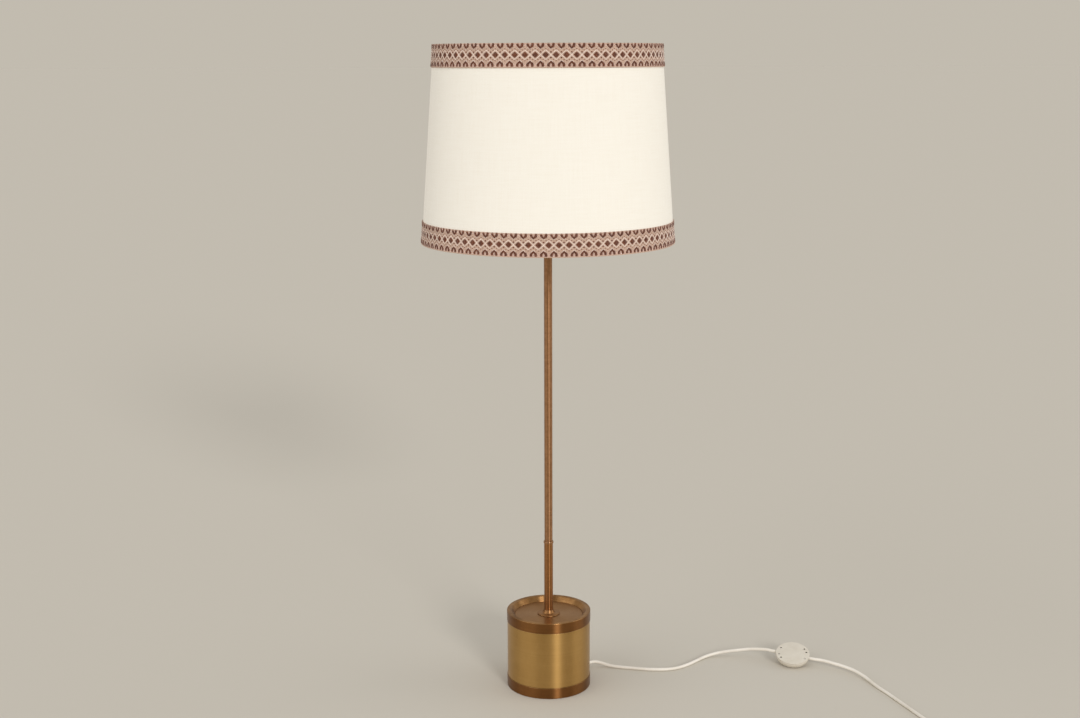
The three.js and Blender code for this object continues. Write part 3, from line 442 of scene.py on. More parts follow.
@dataclass(frozen=True)
class Fibre(Finish):
    """Yarn, felt or raw casting: a rough surface of short random fibres or grit, patchy in tone.

    A patch is so many grains wide.
    """

    tone: str
    dip_shade_and_tone: str
    grit: float = 0.5
    relief: float = 0.5
    roughness: float = 0.85
    sheen: float = 0.15
    metallic: float = 0.0
    grit_depth: float = 0.15
    patch_grains: float = 9.0

    def shader(self, tree: NodeTree) -> NodeSocket:
        """Builds the grit and a slower change of tone.

        Args:
            tree: the material's node tree.

        Returns:
            The shader's output.
        """
        place = add(tree, "ShaderNodeTexCoord", out="Object")
        grit = add(
            tree, "ShaderNodeTexNoise", out="Fac",
            inputs={"Vector": place, "Scale": per_metre(self.grit), "Detail": 4.0, "Roughness": 0.7},
        )
        patch = add(
            tree, "ShaderNodeTexNoise", out="Fac",
            inputs={"Vector": place, "Scale": per_metre(self.patch_grains * self.grit), "Detail": 2.0},
        )
        # Where the grit is low the colour goes darker, more so in some patches: painted shade in the grit's
        # dips, together with a random change of tone.
        blend = add(tree, "ShaderNodeMath", {0: grit, 1: patch}, operation="MULTIPLY")
        amount = add(tree, "ShaderNodeMapRange", {"Value": blend, "From Min": 0.14, "From Max": 0.38})
        colour = add(
            tree, "ShaderNodeMix", {0: amount, 6: linear(self.dip_shade_and_tone), 7: linear(self.tone)},
            data_type="RGBA", out=2,
        )
        bump = {"Strength": self.relief, "Distance": self.grit_depth * MM, "Height": grit}
        relief = add(tree, "ShaderNodeBump", bump)
        surface = {
            "Base Color": colour, "Metallic": self.metallic, "Roughness": self.roughness, "Normal": relief,
            "Sheen Weight": self.sheen,
        }
        return add(tree, "ShaderNodeBsdfPrincipled", surface)


# Turned brass toned to a dark bronze: brown, with a narrow bright streak down the side.
BRONZED_BRASS = MarkedMetal(
    "bronzed_brass_turned", "bronzed_brass", tone="#8b5f36", patina="#5f3e21", bare="#c49a68",
    patina_size=40.0, roughness=0.32, mark=0.25, stretch=0.96,
)
# Sheet brass rolled to a drum and lacquered: a greenish gold with broad, soft reflections.
LACQUERED_BRASS = MarkedMetal(
    "lacquered_brass_rolled", "lacquered_brass", tone="#be985e", patina="#a37e47", bare="#d5b57f",
    patina_size=60.0, roughness=0.34, mark=0.3, stretch=0.82,
)
# The lid's plate, turned and left satin: it shows the stem only as a blur.
SATIN_BRONZE = MarkedMetal(
    "bronze_satin_turned", "satin_bronze", tone="#ad8458", patina="#8f6741", bare="#c8a076",
    patina_size=40.0, roughness=0.36, mark=0.3, stretch=0.7,
)
# The rosette is spun from the same sheet as the lid, and close to it in tone.
ROSETTE_BRONZE = MarkedMetal(
    "bronze_satin_spun", "bronzed_brass", tone="#ab8055", patina="#8a623d", bare="#b68b60",
    patina_size=20.0, roughness=0.44, mark=0.25, stretch=0.7,
)
# Drawn brass tube with a copper tone, tarnished in spots where hands have held it.
STEM_BRASS = MarkedMetal(
    "copper_brass_drawn", "stem_brass", tone="#b0845f", patina="#7d5639", bare="#d2aa86",
    patina_size=7.0, patina_share=0.4, roughness=0.34, mark=0.35, stretch=0.9,
)
# The sleeve's brass is set a little darker and smoother than the tube's.
SLEEVE_BRASS = MarkedMetal(
    "copper_brass_handled", "stem_brass", tone="#a97649", patina="#784f2f", bare="#cb9e70",
    patina_size=10.0, roughness=0.32, mark=0.35, stretch=0.9,
)
# Zinc-plated steel: grey, slightly cloudy, never seen from outside.
ZINC_STEEL = MarkedMetal(
    "steel_zinc_plated", "zinc_steel", tone="#9b9da0", patina="#84878c", bare="#b4b6b8",
    patina_size=6.0, patina_share=0.6, roughness=0.4, mark=0.3, stretch=0.3,
)
# Nickelled cap and pins: bright and smooth with faint rings.
NICKEL = MarkedMetal(
    "nickel_bright_pressed", "bulb_cap_metal", tone="#c2c3c4", patina="#a4a5a6", bare="#d2d2d0",
    patina_size=8.0, patina_share=0.4, roughness=0.24, mark=0.2, stretch=0.2,
)
# Moulded thermoset, once white: ivory, half matt, with a fine moulded grain.
AGED_WHITE = Moulding(
    "thermoset_moulded_aged_white", "white_plastic", tone="#d8d0c1", aged="#d0c7b7", roughness=0.42
)
# Soft vinyl sheath of the mains lead: creamy and smooth, with a dull shine.
CORD_VINYL = CordSheath(
    "vinyl_extruded_white", "cord_pvc", tone="#ebe4d8", soiled="#d9d0c0", roughness=0.45, lay=38.0
)
# Natural nylon: a translucent grey white, waxy.
NYLON = Moulding("nylon_moulded_natural", "nylon", tone="#dddbd3", aged="#d0cdc2", roughness=0.5)
# Nylon webbing of the coil's strap: off-white, with a crisp weave.
STRAP_NYLON = WovenCloth(
    "nylon_woven_webbing", "nylon", tone="#dcd9d0", hollow_shade="#b9b5aa", thread=0.7, slub=2.0, relief=0.5,
    sheen=0.1,
)
# Glazed ceramic: white and shiny.
PORCELAIN = Moulding(
    "porcelain_glazed", "porcelain", tone="#f1efe9", aged="#e9e5db", roughness=0.18, coat=0.4
)
# Opal glass: milk white with a clear, sharp gloss.
OPAL_GLASS = Moulding(
    "glass_opal_blown", "opal_glass", tone="#f4f2ec", aged="#efece4", roughness=0.12, relief=0.01, coat=0.6
)
# Cream cotton pasted on film. Its threads are drawn twice as coarse as they are, so that they show.
SHADE_COTTON = WovenCloth(
    "cotton_woven_cream", "shade_fabric", tone="#faf5ea", hollow_shade="#f1e9da", thread=0.9, slub=2.4, relief=0.22,
    sheen=0.12,
)
# The film inside the shade: matt white with a faint calendered grain.
SHADE_FILM = Moulding("film_white_calendered", "shade_fabric", tone="#f2eee6", aged="#ece6da", roughness=0.6)
# Ground weave of the braid: a dusty pink beige, ribbed.
BRAID_GROUND = WovenCloth(
    "braid_woven_ground", "braid", tone="#d4b6a2", hollow_shade="#a17a66", thread=0.8, slub=2.0, relief=0.6,
    sheen=0.2,
)
# Raised yarns of the braid: matt cotton in three colours.
BRAID_DARK = Fibre("braid_yarn_maroon", "braid", tone="#894a29", dip_shade_and_tone="#5e2d14")
BRAID_CREAM = Fibre("braid_yarn_cream", "braid", tone="#f7e6d8", dip_shade_and_tone="#e4cbbc")
BRAID_PINK = Fibre("braid_yarn_rose", "braid", tone="#efd0c2", dip_shade_and_tone="#d2aa99")
# Steel wire dipped in white epoxy: smooth, with thick rounded edges.
COATED_WIRE = Moulding("wire_epoxy_white", "coated_wire", tone="#eeeae1", aged="#e3ddd0", roughness=0.35)
# Pressed wool felt under the base, almost black.
FELT = Fibre(
    "felt_pressed_dark", "felt", tone="#34322f", dip_shade_and_tone="#1e1d1b", grit=0.6, relief=0.8, roughness=0.95,
    sheen=0.3,
)
# Raw iron casting inside the drum: dark and gritty.
CAST_IRON = Fibre(
    "iron_cast_raw", "cast_iron", tone="#4a4846", dip_shade_and_tone="#2c2a29", grit=0.9, relief=0.6, roughness=0.7,
    sheen=0.0, metallic=0.8,
)


# Meshes


def in_scene(name: str, data: bpy.types.ID) -> Object:
    """Puts a mesh, curve, light or camera in the scene.

    Args:
        name: the new object's name.
        data: what it shows.

    Returns:
        The object.
    """
    made = bpy.data.objects.new(name, data)
    bpy.context.scene.collection.objects.link(made)
    return made


def eased(profile: Profile, ease: float, closed: bool, steps: int = 4, strip: float = 0.0) -> np.ndarray:
    """Rounds the corners of a profile.

    Args:
        profile: the corners, in millimetres.
        ease: how far from a corner its rounding starts.
        closed: whether the last corner joins the first.
        steps: segments in each rounding.
        strip: if above zero, a point stands this far beside each rounding, to bound the wear there.

    Returns:
        The rounded line's points.
    """
    corners = [np.array(corner, float) for corner in profile]
    line = []
    for i, corner in enumerate(corners):
        if not closed and i in (0, len(corners) - 1):
            line.append(corner)
            continue
        back, on = corners[i - 1] - corner, corners[(i + 1) % len(corners)] - corner
        behind, ahead = np.linalg.norm(back), np.linalg.norm(on)
        if back @ on < STRAIGHT * behind * ahead:
            line.append(corner)
            continue
        start = corner + back / behind * min(ease, SIDE_SHARE * behind)
        end = corner + on / ahead * min(ease, SIDE_SHARE * ahead)
        reach = ease + strip
        if strip and behind > STRIP_ROOM * reach:
            line.append(corner + back / behind * reach)
        for k in range(steps + 1):
            t = k / steps
            line.append((1 - t) ** 2 * start + 2 * t * (1 - t) * corner + t**2 * end)
        if strip and ahead > STRIP_ROOM * reach:
            line.append(corner + on / ahead * reach)
    return np.array(line)


def worn_edges(line: np.ndarray, closed: bool) -> np.ndarray:
    """Marks where a profile turns outwards sharply, for the wear on its edges.

    Args:
        line: radius and height of each point, outer wall going up.
        closed: whether the last point joins the first.

    Returns:
        For each point one on an outer edge, and zero on walls and in hollows.
    """
    into, out = line - np.roll(line, 1, 0), np.roll(line, -1, 0) - line
    left = into[:, 0] * out[:, 1] - into[:, 1] * out[:, 0]
    turn = np.degrees(np.arctan2(left, np.sum(into * out, axis=1)))
    worn = np.clip((turn - WORN_TURN) / WORN_TURN, 0.0, 1.0)
    if not closed:
        worn[[0, -1]] = 0.0
    return worn


def solid(
    name: str,
    vertices: np.ndarray,
    faces: Sequence[Sequence[int]],
    uvs: Sequence[Point] = (),
    pose: Matrix = STILL,
    worn: Sequence[float] = (),
) -> Mesh:
    """Makes a smooth closed mesh, with its hard edges kept sharp.

    Args:
        name: the mesh's name.
        vertices: points in millimetres, in the piece's own frame.
        faces: corners of each face.
        uvs: a place in metres on the cloth for each face corner.
        pose: from the piece's own frame to the lamp's, in millimetres.
        worn: how worn the surface is at each point, from zero to one.

    Returns:
        The mesh in the lamp's frame, in metres.
    """
    mesh = bpy.data.meshes.new(name)
    mesh.from_pydata(np.asarray(vertices).tolist(), [], faces)
    if len(uvs):
        layer = mesh.uv_layers.new(name="UVMap")
        layer.data.foreach_set("uv", np.asarray(uvs, np.float32).ravel())
    if len(worn):
        wear = mesh.attributes.new(WEAR_AND_SHEEN, "FLOAT", "POINT")
        wear.data.foreach_set("value", np.asarray(worn, np.float32))
    mesh.transform(Matrix.Scale(MM, 4) @ pose)
    work = bmesh.new()
    work.from_mesh(mesh)
    bmesh.ops.remove_doubles(work, verts=work.verts, dist=MERGE * MM)
    bmesh.ops.recalc_face_normals(work, faces=work.faces)
    work.to_mesh(mesh)
    work.free()
    mesh.shade_smooth()
    mesh.set_sharp_from_angle(angle=SHARP)
    return mesh


def turned(
    name: str,
    profile: Profile,
    facets: int,
    ease: float = 0.4,
    pose: Matrix = STILL,
    ripple: Ripple | None = None,
) -> Mesh:
    """Makes a piece turned about its Z axis.

    Args:
        name: the mesh's name.
        profile: radius and height of each corner, outer wall going up; it starts and ends on the axis,
            or is a closed loop.
        facets: sides of the round.
        ease: rounding of the corners.
        pose: from the piece's own frame to the lamp's.
        ripple: added to the radius by angle and height, as on a thread.

    Returns:
        The mesh.
    """
    closed = profile[0][0] > 0
    line = eased(profile, ease, closed, strip=WORN_STRIP)
    count = len(line)
    angles = np.arange(facets + 1) * math.tau / facets
    radius = np.broadcast_to(line[:, 0], (facets, count)).copy()
    height = np.broadcast_to(line[:, 1], (facets, count))
    turn = np.broadcast_to(angles[:-1, None], (facets, count))
    if ripple:
        radius += ripple(turn, height)
    grid = np.stack([radius * np.cos(turn), radius * np.sin(turn), height], axis=-1)
    steps = np.linalg.norm(np.diff(np.vstack([line, line[:1]]), axis=0), axis=1)
    run = np.concatenate([[0], np.cumsum(steps)]) * MM
    round_ = angles * line[:, 0].max() * MM
    faces, uvs = [], []
    for j in range(facets):
        here, there = j * count, (j + 1) % facets * count
        for i in range(count if closed else count - 1):
            k = (i + 1) % count
            faces.append((here + i, there + i, there + k, here + k))
            uvs += [(round_[j], run[i]), (round_[j + 1], run[i])]
            uvs += [(round_[j + 1], run[i + 1]), (round_[j], run[i + 1])]
    worn = np.tile(worn_edges(line, closed), facets)
    return solid(name, grid.reshape(-1, 3), faces, uvs, pose, worn)


def pipe(
    name: str, bore: float, radius: float, bottom: float, top: float, facets: int, ease: float = 0.2
) -> Mesh:
    """Makes a plain tube about the Z axis.

    Args:
        name: the mesh's name.
        bore: inner radius.
        radius: outer radius.
        bottom: height of the lower end.
        top: height of the upper end.
        facets: sides of the round.
        ease: rounding of its edges.

    Returns:
        The mesh.
    """
    return turned(name, [(bore, bottom), (radius, bottom), (radius, top), (bore, top)], facets, ease)


def drill(name: str, radius: float, near: float, far: float, pose: Matrix) -> Mesh:
    """Makes a rod to cut a round hole with.

    Args:
        name: the mesh's name.
        radius: the hole's radius.
        near: where it starts along Z.
        far: where it ends.
        pose: from the rod's own frame to the lamp's.

    Returns:
        The mesh.
    """
    return turned(name, [(0, near), (radius, near), (radius, far), (0, far)], facets=32, ease=0.1, pose=pose)


def thread_wave(turn: np.ndarray, height: np.ndarray, pitch: float) -> np.ndarray:
    """Share of a screw thread's depth by angle and height: none at its crest, all at its root."""
    return 0.5 - 0.5 * np.cos(math.tau * height / pitch - turn)


def gentle(share: float) -> float:
    """Brings a share between zero and one, with a gentle start and stop."""
    share = min(1.0, max(0.0, share))
    return share * share * (3 - 2 * share)


def unit(vector: np.ndarray) -> np.ndarray:
    """A vector's direction."""
    return vector / np.linalg.norm(vector)


def circle(radius: float, count: int, centre: Point = (0.0, 0.0)) -> list[Pair]:
    """Points of a circle.

    Args:
        radius: its radius.
        count: how many points.
        centre: its middle.

    Returns:
        The points, going round to the left.
    """
    angles = [i * math.tau / count for i in range(count)]
    return [(centre[0] + radius * math.cos(a), centre[1] + radius * math.sin(a)) for a in angles]


def ring_point(radius: float, azimuth: float, height: float) -> Triple:
    """A point at a radius, an azimuth in degrees and a height."""
    return radius * math.cos(math.radians(azimuth)), radius * math.sin(math.radians(azimuth)), height


def smooth_line(points: Sequence[Point], step: float) -> np.ndarray:
    """Draws a centripetal Catmull-Rom curve through points.

    Args:
        points: the points that it passes through.
        step: greatest distance between the points of the result.

    Returns:
        Points along the curve.
    """
    knots = np.array([tuple(p) for p in points], float)
    line = np.vstack([2 * knots[0] - knots[1], knots, 2 * knots[-1] - knots[-2]])
    result = []
    for a, b, c, d in zip(line, line[1:], line[2:], line[3:]):
        first, middle, last = (np.sum((q - p) ** 2) ** 0.25 for p, q in ((a, b), (b, c), (c, d)))
        leave = ((b - a) / first - (c - a) / (first + middle) + (c - b) / middle) * middle
        arrive = ((c - b) / middle - (d - b) / (middle + last) + (d - c) / last) * middle
        count = max(2, math.ceil(np.linalg.norm(c - b) / step))
        for t in np.arange(count) / count:
            square, cube = t * t, t * t * t
            result.append(
                (2 * cube - 3 * square + 1) * b
                + (cube - 2 * square + t) * leave
                + (3 * square - 2 * cube) * c
                + (cube - square) * arrive
            )
    return np.vstack([result, knots[-1]])


def swept(
    name: str, path: np.ndarray, section: Profile, closed: bool = False, up: Point = (0.0, 0.0, 1.0)
) -> Mesh:
    """Sweeps a section along a path without twist.

    Args:
        name: the mesh's name.
        path: points of the centreline.
        section: points across it, sideways and up, going round to the left.
        closed: whether the path is a loop.
        up: which way the section's second number points at the start.

    Returns:
        The mesh.
    """
    path = np.asarray(path, float)
    ahead = np.roll(path, -1, 0) - path
    if closed:
        tangents = np.roll(path, -1, 0) - np.roll(path, 1, 0)
    else:
        ahead[-1] = ahead[-2]
        tangents = np.vstack([ahead[:1], path[2:] - path[:-2], ahead[-1:]])
    tangents /= np.linalg.norm(tangents, axis=1)[:, None]
    above = np.array(up, float)
    rows = []
    for point, along in zip(path, tangents):
        above = unit(above - (above @ along) * along)
        aside = np.cross(along, above)
        rows.append([point + a * aside + b * above for a, b in section])
    count, total = len(section), len(path)
    run = np.concatenate([[0], np.cumsum(np.linalg.norm(ahead, axis=1))]) * MM
    faces, uvs = [], []
    for i in range(total if closed else total - 1):
        here, there = i * count, (i + 1) % total * count
        for j in range(count):
            k = (j + 1) % count
            faces.append((here + j, here + k, there + k, there + j))
            left, right = j / count, (j + 1) / count
            uvs += [(left, run[i]), (right, run[i]), (right, run[i + 1]), (left, run[i + 1])]
    if not closed:
        ends = (tuple(range(count)), tuple(range((total - 1) * count, total * count)))
        faces += ends
        uvs += [(0.0, 0.0)] * (2 * count)
    return solid(name, np.array(rows).reshape(-1, 3), faces, uvs)


def cut_plate(name: str, outlines: Sequence[Profile], thickness: float, edge: float, pose: Matrix) -> Mesh:
    """Makes a flat plate from an outline and its holes, with rounded edges.

    Args:
        name: the mesh's name.
        outlines: the outline and any holes, each smaller or wider by the edge, which the rounding adds.
        thickness: the plate's thickness; its middle is at height zero.
        edge: radius of the rounding.
        pose: from the plate's own frame to the lamp's.

    Returns:
        The mesh.
    """
    curve = bpy.data.curves.new(name, "CURVE")
    curve.dimensions, curve.fill_mode = "2D", "BOTH"
    curve.extrude, curve.bevel_depth, curve.bevel_resolution = thickness / 2 - edge, edge, 3
    for outline in outlines:
        spline = curve.splines.new("POLY")
        spline.points.add(len(outline) - 1)
        spline.points.foreach_set("co", [v for x, y in outline for v in (x, y, 0.0, 1.0)])
        spline.use_cyclic_u = True
    mesh = plain_mesh(name, curve)
    bpy.data.curves.remove(curve)
    vertices = np.array([v.co for v in mesh.vertices])
    faces = [tuple(p.vertices) for p in mesh.polygons]
    bpy.data.meshes.remove(mesh)
    on_edge = np.abs(vertices[:, 2]) < thickness / 2 - 0.1 * edge
    return solid(name, vertices, faces, pose=pose, worn=on_edge.astype(float))


def plain_mesh(name: str, data: bpy.types.ID, prepare: Callable[[Object], None] | None = None) -> Mesh:
    """Turns a curve, or a mesh with modifiers, into a plain mesh.

    Args:
        name: the new mesh's name.
        data: the curve or mesh.
        prepare: adds the modifiers to the passing object.

    Returns:
        The mesh, with nothing else left behind.
    """
    passing = in_scene(name, data)
    if prepare:
        prepare(passing)
    graph = bpy.context.evaluated_depsgraph_get()
    mesh = bpy.data.meshes.new_from_object(
        passing.evaluated_get(graph), preserve_all_data_layers=True, depsgraph=graph
    )
    mesh.name = name
    bpy.data.objects.remove(passing)
    return mesh


def carved(mesh: Mesh, tool: Mesh) -> Mesh:
    """Cuts one mesh out of another.

    Args:
        mesh: what is cut.
        tool: what is taken away.

    Returns:
        The cut mesh.
    """
    cutter = in_scene("cutter", tool)

    def prepare(passing: Object) -> None:
        """Adds the cut."""
        cut = passing.modifiers.new("cut", "BOOLEAN")
        cut.operation, cut.solver, cut.object = "DIFFERENCE", "EXACT", cutter

    result = plain_mesh(mesh.name, mesh, prepare)
    bpy.data.objects.remove(cutter)
    result.shade_smooth()
    result.set_sharp_from_angle(angle=SHARP)
    return result


def add_piece(name: str, mesh: Mesh, finish: Finish, body: Body, stands_for: Sequence[str] = ()) -> Object:
    """Puts a finished mesh on the lamp.

    Args:
        name: the piece's name.
        mesh: its mesh, in the lamp's frame.
        finish: its surface, unless the mesh already has one.
        body: what it moves with.
        stands_for: the solids that it is shown in place of.

    Returns:
        The piece.
    """
    piece = in_scene(name, mesh)
    if not mesh.materials:
        mesh.materials.append(finish.material())
    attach(piece, body.value)
    if stands_for:
        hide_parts(*stands_for)
    LOG.info("%s: %d faces in %s", name, len(mesh.polygons), finish.name)
    return piece


def dress(finish: Finish, *nodes: str) -> None:
    """Gives solids that keep their shape a finish.

    Args:
        finish: the surface.
        nodes: the solids' names.
    """
    for node in nodes:
        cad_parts[node].material_slots[0].material = finish.material()
        LOG.info("%s: dressed in %s", node, finish.name)


class RoundRepeater:
    """Repeats a small shape round the lamp's axis with Geometry Nodes."""

    def __init__(self) -> None:
        """Builds the node tree once."""
        self.tree = bpy.data.node_groups.new("repeat_round_axis", "GeometryNodeTree")
        self._build()

    def _build(self) -> None:
        """Lays out the tree: points on a ring, the shape on each, one real mesh, one finish."""
        tree = self.tree
        for name, kind in (
            ("Shape", "Object"), ("Repeats", "Int"), ("Radius", "Float"), ("Height", "Float"),
            ("Lean", "Float"), ("Finish", "Material"),
        ):
            tree.interface.new_socket(name=name, in_out="INPUT", socket_type="NodeSocket" + kind)
        tree.interface.new_socket(name="Geometry", in_out="OUTPUT", socket_type="NodeSocketGeometry")
        given = add(tree, "NodeGroupInput").node.outputs
        line = add(tree, "GeometryNodeMeshLine", {"Count": given["Repeats"], "Offset": (0, 0, 0)})
        index = add(tree, "GeometryNodeInputIndex")
        share = add(tree, "ShaderNodeMath", {0: index, 1: given["Repeats"]}, operation="DIVIDE")
        angle = add(tree, "ShaderNodeMath", {0: share, 1: math.tau}, operation="MULTIPLY")
        sides = [add(tree, "ShaderNodeMath", {0: angle}, operation=kind) for kind in ("COSINE", "SINE")]
        x, y = (
            add(tree, "ShaderNodeMath", {0: side, 1: given["Radius"]}, operation="MULTIPLY")
            for side in sides
        )
        place = add(tree, "ShaderNodeCombineXYZ", {"X": x, "Y": y, "Z": given["Height"]})
        points = add(tree, "GeometryNodeSetPosition", {"Geometry": line, "Position": place})
        tilt = add(tree, "ShaderNodeMath", {0: math.pi / 2, 1: given["Lean"]}, operation="SUBTRACT")
        turn = add(tree, "ShaderNodeMath", {0: angle, 1: math.pi / 2}, operation="ADD")
        euler = add(tree, "ShaderNodeCombineXYZ", {"X": tilt, "Z": turn})
        rotation = add(tree, "FunctionNodeEulerToRotation", {0: euler})
        shape = add(
            tree, "GeometryNodeObjectInfo", {"Object": given["Shape"], "As Instance": True}, out="Geometry"
        )
        spread = add(
            tree, "GeometryNodeInstanceOnPoints", {"Points": points, "Instance": shape, "Rotation": rotation}
        )
        real = add(tree, "GeometryNodeRealizeInstances", {"Geometry": spread})
        dressed = add(tree, "GeometryNodeSetMaterial", {"Geometry": real, "Material": given["Finish"]})
        add(tree, "NodeGroupOutput", {"Geometry": dressed})

    def run(
        self, name: str, shape: Mesh, repeats: int, radius: float, height: float, lean: float, finish: Finish
    ) -> Mesh:
        """Repeats a shape, whose Z axis is turned outwards and Y axis upwards.

        Args:
            name: the mesh's name.
            shape: the shape, in metres.
            repeats: how many times it stands round the axis.
            radius: its distance from the axis, in millimetres.
            height: its height, in millimetres.
            lean: how far its face looks up, in radians.
            finish: its surface.

        Returns:
            One plain mesh.
        """
        holder = in_scene(name + "_shape", shape)
        values = {
            "Shape": holder, "Repeats": repeats, "Radius": radius * MM, "Height": height * MM, "Lean": lean,
            "Finish": finish.material(),
        }

        def prepare(passing: Object) -> None:
            """Adds the tree with its inputs.

            Args:
                passing: the object that gets it.
            """
            modifier = passing.modifiers.new("repeat", "NODES")
            modifier.node_group = self.tree
            for item in self.tree.interface.items_tree:
                if item.in_out == "INPUT":
                    modifier[item.identifier] = values[item.name]

        mesh = plain_mesh(name, bpy.data.meshes.new(name), prepare)
        bpy.data.objects.remove(holder)
        return mesh


# The studio


@dataclass(frozen=True)
class Lamp:
    """A distant soft lamp: azimuth to the right of the camera's side, and elevation, in degrees."""

    name: str
    azimuth: float
    elevation: float
    strength: float
    spread: float

    def towards(self) -> Triple:
        """The direction from the object to the lamp."""
        across, up = math.radians(self.azimuth), math.radians(self.elevation)
        return math.sin(across) * math.cos(up), -math.cos(across) * math.cos(up), math.sin(up)


@dataclass
class Studio:
    """Camera, floor and light."""

    camera_place: Triple = (-14.9, -2676.0, 1163.0)
    camera_tilt: float = 11.34
    camera_roll: float = -0.17
    lens: float = 50.03
    sensor: float = 36.0
    floor_half: float = 200000.0
    floor_tone: str = "#cfc8bb"
    sky: float = 0.59
    lamps: tuple[Lamp, ...] = (
        Lamp("key_lamp", 23.0, 21.0, 1.25, 14.0),
        Lamp("side_lamp", 88.0, 12.0, 0.55, 40.0),
        Lamp("fill_lamp", -62.0, 24.0, 0.75, 60.0),
    )

    def build(self) -> None:
        """Sets up the whole studio."""
        bpy.context.scene.view_settings.view_transform = "Standard"
        self._camera()
        self._floor()
        for lamp in self.lamps:
            self._lamp(lamp)
        self._world()

    def _camera(self) -> None:
        """Puts the camera where the photograph was taken from."""
        data = bpy.data.cameras.new("camera")
        data.lens, data.sensor_width, data.clip_end = self.lens, self.sensor, 5 * self.floor_half * MM
        camera = in_scene("camera", data)
        camera.matrix_world = (
            Matrix.Translation(Vector(self.camera_place) * MM)
            @ Matrix.Rotation(math.radians(90 - self.camera_tilt), 4, "X")
            @ Matrix.Rotation(math.radians(self.camera_roll), 4, "Z")
        )
        bpy.context.scene.camera = camera

    def _floor(self) -> None:
        """Lays a wide plain floor."""
        half = self.floor_half * MM
        mesh = bpy.data.meshes.new("studio_floor")
        corners = [(-half, -half, 0), (half, -half, 0), (half, half, 0), (-half, half, 0)]
        mesh.from_pydata(corners, [], [(0, 1, 2, 3)])
        floor = in_scene("studio_floor", mesh)
        material = bpy.data.materials.new("studio_floor_matt")
        material.use_nodes = True
        material.node_tree.nodes.clear()
        matt = add(material.node_tree, "ShaderNodeBsdfDiffuse", {"Color": linear(self.floor_tone)})
        add(material.node_tree, "ShaderNodeOutputMaterial", {"Surface": matt})
        mesh.materials.append(material)

    def _lamp(self, lamp: Lamp) -> None:
        """Hangs one lamp.

        Args:
            lamp: its direction, strength and softness.
        """
        data = bpy.data.lights.new(lamp.name, "SUN")
        data.energy, data.angle = lamp.strength, math.radians(lamp.spread)
        light = in_scene(lamp.name, data)
        x, y, z = lamp.towards()
        light.rotation_euler = Vector((-x, -y, -z)).to_track_quat("-Z", "Y").to_euler()

    def _world(self) -> None:
        """Makes a sky that lights evenly and looks like the lit floor, so that no horizon shows."""
        level = self.sky + sum(lamp.strength * lamp.towards()[2] / math.pi for lamp in self.lamps)
        backdrop = tuple(part * level for part in linear(self.floor_tone)[:3]) + (1.0,)
        world = bpy.data.worlds.new("studio_sky")
        world.use_nodes = True
        bpy.context.scene.world = world
        tree = world.node_tree
        tree.nodes.clear()
        path = add(tree, "ShaderNodeLightPath").node.outputs
        seen = path["Is Camera Ray"]
        for kind in ("Is Glossy Ray", "Is Transmission Ray"):
            seen = add(tree, "ShaderNodeMath", {0: seen, 1: path[kind]}, operation="MAXIMUM")
        light = add(tree, "ShaderNodeBackground", {"Color": (1, 1, 1, 1), "Strength": self.sky})
        shown = add(tree, "ShaderNodeBackground", {"Color": backdrop, "Strength": 1.0})
        both = add(tree, "ShaderNodeMixShader", {0: seen, 1: light, 2: shown})
        add(tree, "ShaderNodeOutputWorld", {"Surface": both})


# The lamp's own sub-assemblies


